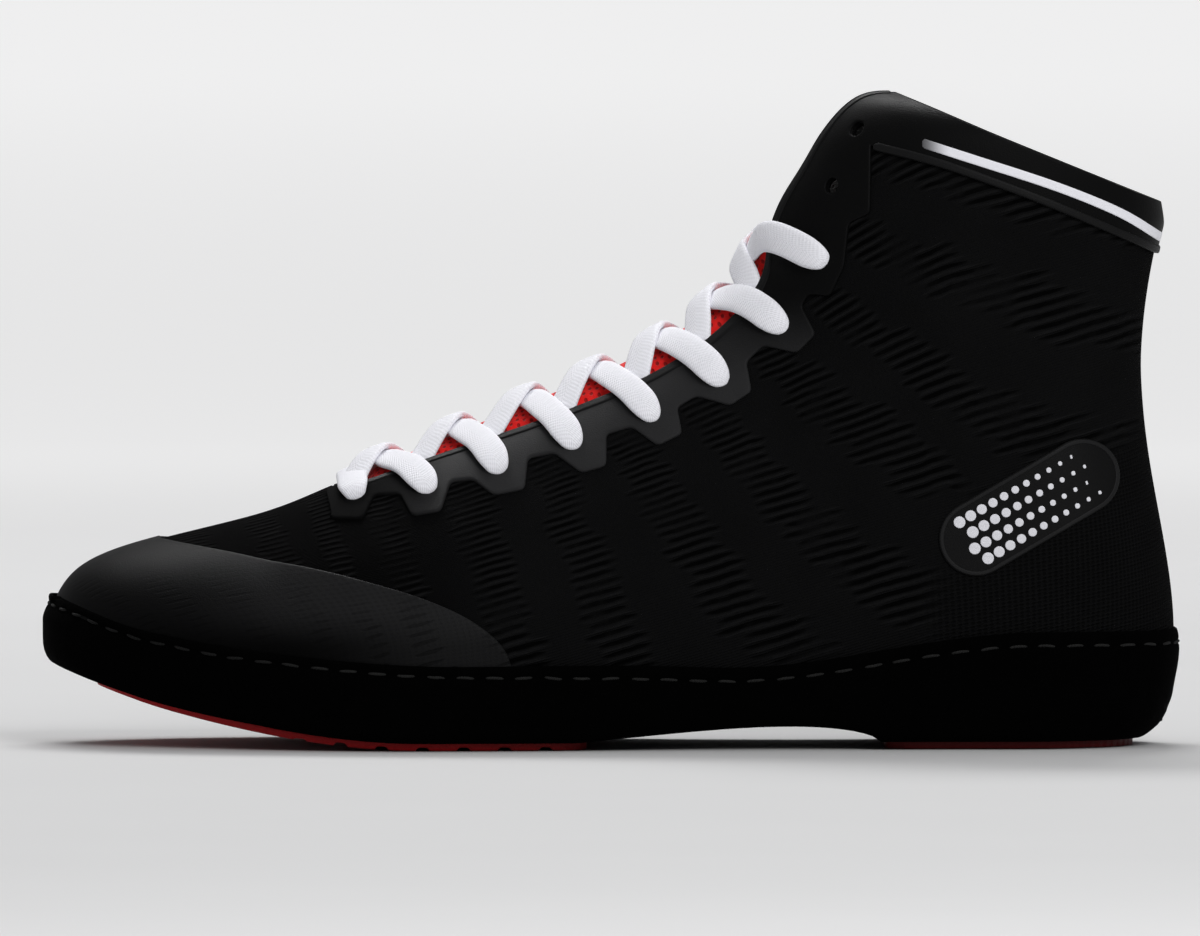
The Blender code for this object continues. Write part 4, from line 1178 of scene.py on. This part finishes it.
class SHOE_OT_outsole(bpy.types.Operator):
    """Two red rubber halves under the wrap, with cross lugs"""

    bl_idname = "shoe.outsole"
    bl_label = "Outsole"

    def execute(self, context):
        tree = tree_of("knit_upper")
        edges = [[], []]
        for pair in ribs(36, 90):
            for k, ray in enumerate(pair):
                profile, _ = wrap_profile(tree, ray, context.scene.shoe_sizes.stitch_drop)
                edges[k].append(profile[-2])
        edges = [np.array(line) for line in edges]
        surface = rubber_finish(context.scene.shoe_colours)
        for name, start, stop, lugs in (
            ("outsole_forefoot", 0.520, 0.948, 12),
            ("outsole_heel", 0.0415, 0.260, 5),
        ):
            self.lay(name, edges, start * LENGTH, stop * LENGTH, lugs, surface)
        return {"FINISHED"}

    def lay(self, name, edges, start, stop, lugs, surface):
        """Plate from one length to another, its ends and edges rounded and its underside grooved."""
        heel = np.linspace(start, stop, lugs * 22 + 1)
        x = heel - CENTRE_X
        left, right = (np.interp(x, line[:, 0], line[:, 1]) for line in edges)
        top = np.interp(x, edges[0][:, 0], edges[0][:, 2])
        pitch = (stop - start) / lugs
        beat = np.abs(((heel - start) / pitch + 0.5) % 1.0 - 0.5)
        groove = 1.0 - smooth_step(beat, 0.10, 0.18)
        groove[(heel < start + 0.4 * pitch) | (heel > stop - 0.4 * pitch)] = 0.0
        place = heel / LENGTH
        open_side = 0.7 * smooth_step(place, 0.50, 0.56) * smooth_step(-place, -0.80, -0.74)
        near = np.minimum(heel - start, stop - heel)
        inset = 0.0014 + 0.0045 * (1.0 - np.sqrt(1.0 - (1.0 - np.clip(near / 0.009, 0.0, 1.0)) ** 2))
        middle, half = (left + right) / 2, (left - right) / 2 - inset
        shape = [(1.0, 0.0, 0.0), (1.0, 0.0, 0.55), (1.0, 0.0003, 0.85), (1.0, 0.0009, 1.0)]
        shape += [(share, 0.0, 1.0) for share in (0.9, 0.6, 0.3, 0.0, -0.3, -0.6, -0.9)]
        shape += [(-1.0, 0.0009, 1.0), (-1.0, 0.0003, 0.85), (-1.0, 0.0, 0.55), (-1.0, 0.0, 0.0)]
        points = []
        for i in range(len(x)):
            for share, trimmed, drop in shape:
                y = middle[i] + share * (half[i] - trimmed)
                side = open_side[i] if abs(share) > 0.95 else 1.0
                cut = 0.0012 * groove[i] * max(drop - 0.55, 0.0) / 0.45 * side
                points.append((x[i], y, top[i] + 0.0001 - (PLATE + PLATE_GAP + 0.0001) * drop + cut))
        piece = add_piece(
            name + "_rubber", points, tube_faces(len(x), len(shape)), surface, (name,)
        )
        mend(piece, turn=True)


class SHOE_OT_footbed(bpy.types.Operator):
    """Cloth-topped footbed inside the upper"""

    bl_idname = "shoe.footbed"
    bl_label = "Footbed"

    def execute(self, context):
        tree = tree_of("knit_upper")
        pairs = ribs(24, 60)
        shape = ((0.0011, 0.0), (0.0008, 0.0020), (0.0012, 0.0027), (0.0024, 0.0030), (0.012, 0.0026))
        points = []
        for pair in pairs:
            for ray in pair:
                x = ray.origin.x + ray.way.x * 0.03
                for _ in range(3):
                    low = float(under_at(x)) + FLOOR + 0.0006
                    near = min(reach(tree, ray, low + k * 0.0015, False) for k in range(3))
                    x = ray.origin.x + ray.way.x * (near - 0.0005)
                for inset, up in shape:
                    points.append(spot_on(ray, max(near - inset, 0.001), low + up))
        surface = footbed_finish(context.scene.shoe_colours)
        faces = rib_faces(len(pairs), len(shape))
        piece = add_piece("footbed", points, faces, surface, ("insole",))
        mend(piece, weld=True, turn=True)
        return {"FINISHED"}


class SHOE_OT_tongue(bpy.types.Operator):
    """Red mesh tongue under the throat"""

    bl_idname = "shoe.tongue"
    bl_label = "Tongue"

    def execute(self, context):
        rows = np.linspace(5.4, 18.7, 196)
        share = np.linspace(-1.0, 1.0, 57)
        half = 0.025 * (0.8 + 0.2 * np.minimum((rows - 5.4) / 3.05, 1.0))
        half = half * (1.0 - 0.35 * smooth_step(rows, 18.1, 18.7) ** 2)
        s = np.repeat(rows, len(share))
        y = (half[:, None] * share).ravel()
        q = angle_at(s, y)
        face = self.depth(s, np.abs(y))
        edge = (np.abs(share) > 0.93)[None, :] | (rows > 18.6)[:, None]
        thick = np.where(edge.ravel(), 0.0016, 0.0027)
        top = lifted(s, q, face)
        back = lifted(s, q, face - thick)
        wide = len(share)
        faces = strip_faces(len(rows), wide, False)
        faces += [tuple(len(s) + k for k in quad[::-1]) for quad in faces]
        rim = list(range(wide)) + [i * wide + wide - 1 for i in range(1, len(rows))]
        rim += [len(s) - 1 - k for k in range(1, wide)] + [i * wide for i in range(len(rows) - 2, 0, -1)]
        for a, b in zip(rim, rim[1:] + rim[:1]):
            faces.append((b, a, len(s) + a, len(s) + b))
        surface = mesh_finish(context.scene.shoe_colours)
        piece = add_piece("mesh_tongue", np.concatenate([top, back]), faces, surface, ("tongue",))
        crest = top.reshape(len(rows), wide, 3)[:, wide // 2]
        run = length_along(crest)
        # Margin under the eyestays, which the finish paints near-black as shade.
        shaded_margin = smooth_step(np.abs(y) - along("gap", s) + 0.0046 * smooth_step(s, 13.0, 18.0), -0.0002, 0.0010)
        weave = np.stack([y / 0.0021, np.repeat(run, wide) / 0.0018, shaded_margin], -1)
        add_weave(piece, np.concatenate([weave, weave]))
        mend(piece, turn=True)
        return {"FINISHED"}

    def depth(self, s, y):
        """The tongue's face below the last: proud in the throat, tucked under its edges."""
        ahead = np.clip((s - THROAT_FRONT) / THROAT_ROUND, 0.0, 1.0)
        gap = along("gap", s) * np.sqrt(1.0 - (1.0 - ahead) ** 2)
        inside = np.clip((gap - 0.0012 - y) / 0.004, 0.0, 1.0) * np.clip((s - 6.3) / 0.5, 0.0, 1.0)
        ease = inside * inside * (3.0 - 2.0 * inside)
        tucked = WALL + 0.0011 + 0.0016 * np.maximum(1.0 - np.abs(s - 6.1) / 0.8, 0.0)
        sink = 1.6 * smooth_step(s, 13.3, 14.7)
        crown = 0.0009 * (1.0 - smooth_step(y, 0.002, 0.010)) * ease
        return crown - (tucked + (0.0003 - tucked) * ease + 0.0030 * sink)


class SHOE_OT_films(bpy.types.Operator):
    """Bonded films: toe cap, toothed eyestays with their bindings, and cuff with its seam and print"""

    bl_idname = "shoe.films"
    bl_label = "Films"

    def execute(self, context):
        sizes = context.scene.shoe_sizes
        colours = context.scene.shoe_colours
        film = film_finish(colours, gloss=0.042, lower=7.0)
        edge = film_finish(colours, "film_edge", 2.2)
        self.cap(sizes, cap_finish(colours))
        self.stays(sizes, film, edge)
        self.cuff(sizes, edge, stripe_finish(colours))
        return {"FINISHED"}

    def cap(self, sizes, surface):
        outline = smooth_line(CAP_EDGE[1:])
        outline = [CAP_EDGE[0]] + outline + [(167.0, -5.0), (300.0, -5.0), (300.0, 64.0)]
        sheet = panel(
            np.linspace(0.02, 8.2, 190), full_span, 150,
            lambda s, q: outline_clear(skin(s, q), outline), sizes.film, film_rim(sizes.film),
        )
        piece = add_sheet("toe_cap_film", sheet, surface, ("toe_cap",))
        add_weave(piece, weave_of(sheet))

    def stays(self, sizes, film, edge):
        """Toothed eyestay and cuff in one film on each side, meeting at the back, bound at the throat."""
        spots, centres = hole_centres()
        outline = eased(STAY_TEETH + STAY_FLAP, 1.25)
        cuff = smooth_line(CUFF_EDGE) + list(CUFF_ABOVE)
        rows = np.concatenate([np.linspace(5.9, 7.4, 80), np.linspace(7.42, 20.05, 436)])

        def toothed(s, q):
            return outline_clear(skin(s, facing(s, q, spots)), outline)

        for name, side in (("lateral", 1.0), ("medial", -1.0)):

            def span(rows):
                gap = np.maximum(along("gap", rows) * 0.9, 0.0)
                first = np.maximum(np.abs(angle_at(rows, side * gap)) - 0.06, 0.02)
                final = first + 0.95 + (math.pi - first - 0.95) * smooth_step(rows, 15.6, 17.2)
                return (first, final) if side > 0.0 else (-final, -first)

            def clear(s, q):
                points = skin(s, q)
                near = np.maximum(toothed(s, q), outline_clear(points, cuff))
                near = np.minimum(near, throat_clear(s, q) + 0.0003)
                near = np.minimum(near, collar_clear(s, q) + 0.0003)
                return np.minimum(near, hole_clear(points, centres, EYELET_RADIUS - 0.0001))

            sheet = panel(rows, span, 120, clear, sizes.film, film_rim(sizes.film), capped=True)
            nodes = ("eyestay_" + name, "cuff") if side > 0.0 else ("eyestay_" + name,)
            piece = add_sheet("eyestay_film_" + name, sheet, film, nodes)
            mend(piece, weld=True, turn=True)

            def strip(s, q):
                inside = throat_clear(s, q) + 0.0005
                near = np.minimum(inside, sizes.binding + 0.0005 - inside)
                near = np.minimum(near, collar_clear(s, q))
                return np.minimum(near, toothed(s, q))

            def edge_span(rows):
                first, final = span(rows)
                return (first, first + 0.45) if side > 0.0 else (final - 0.45, final)

            top = sizes.film + 0.0003
            sheet = panel(rows, edge_span, 70, strip, top, film_rim(top, sizes.film - 0.0003))
            add_sheet("throat_binding_" + name, sheet, edge)

    def cuff(self, sizes, edge, white):
        """Raised seam along the cuff's lower edge, and the white print above it."""
        outline = smooth_line(CUFF_EDGE)

        def seam(s, q):
            points = skin(s, q)
            near = 0.0011 - line_distance(points, outline)
            near = np.minimum(near, 0.0775 - points[..., 0] - CENTRE_X)
            return np.where(np.abs(q) < 0.3, NOWHERE, near)

        high = sizes.film + 0.0005
        rim = ((0.0006, high), (0.0003, high - 0.0001), (0.0001, high - 0.0003), (0.0, -0.0002))
        sheet = panel(np.linspace(17.2, 20.05, 220), full_span, 520, seam, high, rim)
        mend(add_sheet("cuff_seam", sheet, edge), weld=True)
        middle = smooth_line(STRIPE_LINE)

        def stripe(s, q):
            points = skin(s, q)
            near = sizes.stripe / 2 - line_distance(points, middle)
            near = np.minimum(near, 0.0655 - points[..., 0] - CENTRE_X)
            return np.where(np.abs(q) < 0.5, NOWHERE, np.minimum(near, collar_clear(s, q) - 0.0005))

        top = sizes.film + 0.00012
        rim = film_rim(top, sizes.film - 0.0003)
        sheet = panel(np.linspace(18.0, 20.0, 130), full_span, 340, stripe, top, rim)
        mend(add_sheet("collar_print", sheet, white), weld=True)


class SHOE_OT_heel_patch(bpy.types.Operator):
    """Plain film patch on the outer side of the heel, with rows of small round prints"""

    bl_idname = "shoe.heel_patch"
    bl_label = "Heel patch"

    def execute(self, context):
        sizes = context.scene.shoe_sizes
        colours = context.scene.shoe_colours

        def outer(near, q):
            return np.where((q < 0.4) | (q > 2.95), NOWHERE, near)

        def patch(s, q):
            return outer(sizes.patch - line_distance(skin(s, q), PATCH_LINE), q)

        angles = [0.5, 2.9]

        def span(rows):
            return np.full(len(rows), angles[0]), np.full(len(rows), angles[1])

        top = sizes.film * 0.75
        sheet = panel(np.linspace(11.6, 17.4, 400), span, 150, patch, top, film_rim(top))
        rows = np.linspace(sheet.s.min(), sheet.s.max(), 620)
        angles[:] = sheet.q.min(), sheet.q.max()
        add_sheet("heel_patch_film", sheet, film_finish(colours, "patch_film", 1.3))
        rim = ((0.00016, top + 0.0002), (0.00004, top + 0.0001), (0.0, top - 0.0002))
        sheet = panel(
            rows, span, 620,
            lambda s, q: np.minimum(patch(s, q) - 0.0003, 0.0013 - patch(s, q)), top + 0.0002, rim,
        )
        add_sheet("heel_patch_rim", sheet, film_finish(colours, "patch_rim", 4.0))
        start, stop = np.array(PATCH_LINE)
        length = np.linalg.norm(stop - start)
        way = (stop - start) / length
        dots = []
        for row in range(4):
            for k in range(11):
                dots.append(((k - 0.5 + 0.5 * (row % 2)) * length / 9.5, (row - 1.5) * 3.8, 1.5 - 0.1 * k))

        def spots(s, q):
            x, z = side_view(skin(s, q))
            x, z = x - start[0], z - start[1]
            run, off = x * way[0] + z * way[1], z * way[0] - x * way[1]
            near = np.max([radius - np.hypot(run - u, off - v) for u, v, radius in dots], axis=0) * MM
            return outer(near, q)

        high = top + 0.00012
        rim = ((0.00016, high), (0.00004, high - 0.00004), (0.0, top - 0.0002))
        sheet = panel(rows[::2], span, 260, spots, high, rim)
        add_sheet("heel_patch_print", sheet, print_finish(colours))
        return {"FINISHED"}


def on_throat(s, y, lift):
    return lifted(s, angle_at(s, y), lift)


class SHOE_OT_lace(bpy.types.Operator):
    """Flat cotton lace: a bar at the front, then crossings from hole to hole"""

    bl_idname = "shoe.lace"
    bl_label = "Lace"

    def execute(self, context):
        sizes = context.scene.shoe_sizes
        surface = cotton_finish(context.scene.shoe_colours)
        spots, _ = hole_centres()
        draw = np.random.default_rng(11)
        film = sizes.film
        half = sizes.lace / 2
        s, y = spots[0]
        bar = [
            (s, y + 0.0006, -0.0030), (s, y + 0.0004, 0.0002), (s, y - 0.0016, film + half + 0.0004),
            (s, y * 0.5, film + half), (s, 0.0, film + half), (s, -y * 0.5, film + half),
            (s, -y + 0.0016, film + half + 0.0004), (s, -y - 0.0004, 0.0002), (s, -y - 0.0006, -0.0030),
        ]
        self.weave("lace_bar_cotton", [bar], sizes, surface, ("lace_bar",), draw, both_ends=True)
        for k in range(LACED - 1):
            strands = []
            for side in (1.0, -1.0):
                strands.append(self.crossing(spots[k], spots[k + 1], CRESTS[k], side, film, half, draw))
            name = "lace_cross_%d" % (k + 1)
            self.weave(name + "_cotton", strands, sizes, surface, (name,), draw)
        return {"FINISHED"}

    def crossing(self, near, far, crest, side, film, half, draw):
        """Stations of one strand: from under the edge, over the tongue and the far eyestay, into its hole."""
        s0, y0 = near
        s1, y1 = far
        step = s1 - s0
        gap = float(along("gap", np.array([s0]))[0])
        end = float(along("gap", np.array([s1 - 0.2 * step]))[0])
        over = 0.0021 if side > 0.0 else 0.0
        stray = draw.normal(0.0, 0.0003, 2)
        marks = (-y1, -end, 0.0, gap, y0)
        shares = (1.0, 0.98 - 0.34 * (1.0 - crest), crest, -0.12, -0.16)

        def at(y, lift):
            return (s0 + step * float(np.interp(y, marks, shares)), side * y, lift)

        return [
            at(y0, -WALL - 0.0014),
            at(gap + 0.0025, -WALL - 0.0010),
            at(gap - 0.0012, -0.0001),
            at(gap - 0.0050, half + 0.0008),
            at(0.0 + stray[0], half + 0.0014 + over),
            at(-end + 0.0050, half + 0.0009 + 0.25 * over),
            at(-end - 0.0015, film + half + 0.0004),
            at(-y1 + 0.0022, film + half + 0.0003 + abs(stray[1])),
            at(-y1 - 0.0004, film - 0.0004),
            at(-y1 - 0.0006, -0.0030),
        ]

    def weave(self, name, strands, sizes, surface, nodes, draw, both_ends=False):
        """Flat tubes along their stations, narrower where an end dips into a hole."""
        points, faces, weave = [], [], []
        sides = 16
        turn = np.arange(sides) * 2.0 * math.pi / sides
        flat_a = np.sign(np.cos(turn)) * np.abs(np.cos(turn)) ** 0.75
        flat_b = np.sign(np.sin(turn)) * np.abs(np.sin(turn)) ** 0.75
        for stations in strands:
            path = flowing(stations, 9)
            s, y, lift = path[:, 0], path[:, 1], path[:, 2]
            middle = on_throat(s, y, lift)
            flat = on_throat(s, y, np.full(len(s), 0.002))
            out = normal_at(s, angle_at(s, y))
            run = unit(np.gradient(flat, axis=0))
            across = unit(np.cross(run, out))
            true_run = unit(np.gradient(middle, axis=0))
            thick = unit(np.cross(across, true_run))
            length = length_along(middle)
            ends = np.minimum(length[-1] - length, length if both_ends else 1.0)
            pinch = np.sqrt(1.0 - (1.0 - np.clip((ends - 0.0030) / 0.0075, 0.0, 1.0)) ** 2)
            wide = sizes.lace_width / 2 * (0.30 + 0.70 * pinch) * (1.0 + draw.normal(0.0, 0.02))
            deep = sizes.lace / 2 * (1.25 - 0.25 * pinch)
            base = len(points)
            for k in range(len(s)):
                ring = middle[k] + across[k] * (wide[k] * flat_a)[:, None]
                points += list(ring + thick[k] * (deep[k] * flat_b)[:, None])
                weave += [(length[k], wide[k] * a, 0.0) for a in flat_a]
            faces += tube_faces(len(s), sides, base)
        piece = add_piece(name, points, faces, surface, nodes)
        add_weave(piece, np.array(weave))
        mend(piece, turn=True)


class SHOE_OT_stage(bpy.types.Operator):
    """Pale floor, soft studio lights and the camera"""

    bl_idname = "shoe.stage"
    bl_label = "Stage"

    def execute(self, context):
        self.floor()
        self.light("top_softbox", (0.05, -0.20, 1.5), (0.0, 0.0, 0.05), (1.8, 1.2), 7.0)
        self.light("front_softbox", (-0.75, 1.75, 1.15), (0.0, 0.0, 0.07), (1.1, 1.1), 26.0)
        self.light("back_softbox", (0.15, -1.1, 1.4), (0.0, 0.1, 0.03), (1.0, 0.5), 18.0)
        world = bpy.data.worlds.new("studio")
        world.use_nodes = True
        world.node_tree.nodes["Background"].inputs["Color"].default_value = (0.92, 0.92, 0.94, 1.0)
        world.node_tree.nodes["Background"].inputs["Strength"].default_value = 0.24
        context.scene.world = world
        context.scene.view_settings.view_transform = "Standard"
        self.camera(context)
        return {"FINISHED"}

    def floor(self):
        """Wide level floor with a painted glow that grows brighter with distance."""
        made, tree, shader = finish("pale_floor", 0.7, Specular_IOR_Level=0.2, Emission_Strength=1.0)
        speck = cloud(tree, 8.0, 2.0)
        x, y, _ = place_of(tree)
        away = calc("SQRT", x * x + y * y)
        # Painted light: the floor glows, dark beside the shoe and brighter further off.
        glow = tint(rising(away, 0.55, 2.65), (0.0, 0.0, 0.0), (0.635, 0.635, 0.635))
        plug(shader, "Emission Color", tint(rising(away, 2.0, 17.0), glow, (0.72, 0.72, 0.72)))
        coat(shader, tint(speck, (0.59, 0.59, 0.592), (0.61, 0.61, 0.612)), speck, 0.0001, 0.1)
        mesh = bpy.data.meshes.new("studio_floor")
        corners = [(a * FLOOR_HALF, b * FLOOR_HALF, FLOOR_Z) for a, b in ((-1, -1), (1, -1), (1, 1), (-1, 1))]
        mesh.from_pydata(corners, [], [(0, 1, 2, 3)])
        mesh.materials.append(made)
        ground = bpy.data.objects.new("studio_floor", mesh)
        bpy.context.scene.collection.objects.link(ground)

    def light(self, name, place, target, size, power):
        lamp = bpy.data.lights.new(name, "AREA")
        lamp.shape = "RECTANGLE"
        lamp.size, lamp.size_y = size
        lamp.energy = power
        holder = bpy.data.objects.new(name, lamp)
        holder.location = place
        holder.rotation_euler = (Vector(target) - Vector(place)).to_track_quat("-Z", "Y").to_euler()
        bpy.context.scene.collection.objects.link(holder)

    def camera(self, context):
        lens = bpy.data.cameras.new("side_view")
        lens.sensor_width = SENSOR
        lens.lens = SENSOR * CAMERA_AWAY / SEEN_WIDTH
        holder = bpy.data.objects.new("side_view", lens)
        target = Vector((0.0031, 0.0, 0.0697))
        holder.location = target + Vector((0.0, CAMERA_AWAY, 0.150))
        holder.rotation_euler = (target - holder.location).to_track_quat("-Z", "Y").to_euler()
        context.scene.collection.objects.link(holder)
        context.scene.camera = holder


class SHOE_PT_panel(bpy.types.Panel):
    bl_label = "Ring shoe"
    bl_idname = "SHOE_PT_panel"
    bl_space_type = "VIEW_3D"
    bl_region_type = "UI"
    bl_category = "Ring shoe"

    def draw(self, context):
        for group in (context.scene.shoe_sizes, context.scene.shoe_colours):
            for key in group.__annotations__:
                self.layout.prop(group, key)
        for operator in OPERATORS:
            self.layout.operator(operator.bl_idname)


OPERATORS = (
    SHOE_OT_upper,
    SHOE_OT_wrap,
    SHOE_OT_outsole,
    SHOE_OT_footbed,
    SHOE_OT_tongue,
    SHOE_OT_films,
    SHOE_OT_heel_patch,
    SHOE_OT_lace,
    SHOE_OT_stage,
)
CLASSES = (ShoeSizes, ShoeColours) + OPERATORS + (SHOE_PT_panel,)


def register():
    for item in CLASSES:
        bpy.utils.register_class(item)
    bpy.types.Scene.shoe_sizes = PointerProperty(type=ShoeSizes)
    bpy.types.Scene.shoe_colours = PointerProperty(type=ShoeColours)


def unregister():
    del bpy.types.Scene.shoe_colours
    del bpy.types.Scene.shoe_sizes
    for item in reversed(CLASSES):
        bpy.utils.unregister_class(item)


def main():
    register()
    bpy.ops.shoe.upper()
    bpy.ops.shoe.wrap()
    bpy.ops.shoe.outsole()
    bpy.ops.shoe.footbed()
    bpy.ops.shoe.tongue()
    bpy.ops.shoe.films()
    bpy.ops.shoe.heel_patch()
    bpy.ops.shoe.lace()
    bpy.ops.shoe.stage()


if __name__ == "__main__":
    main()
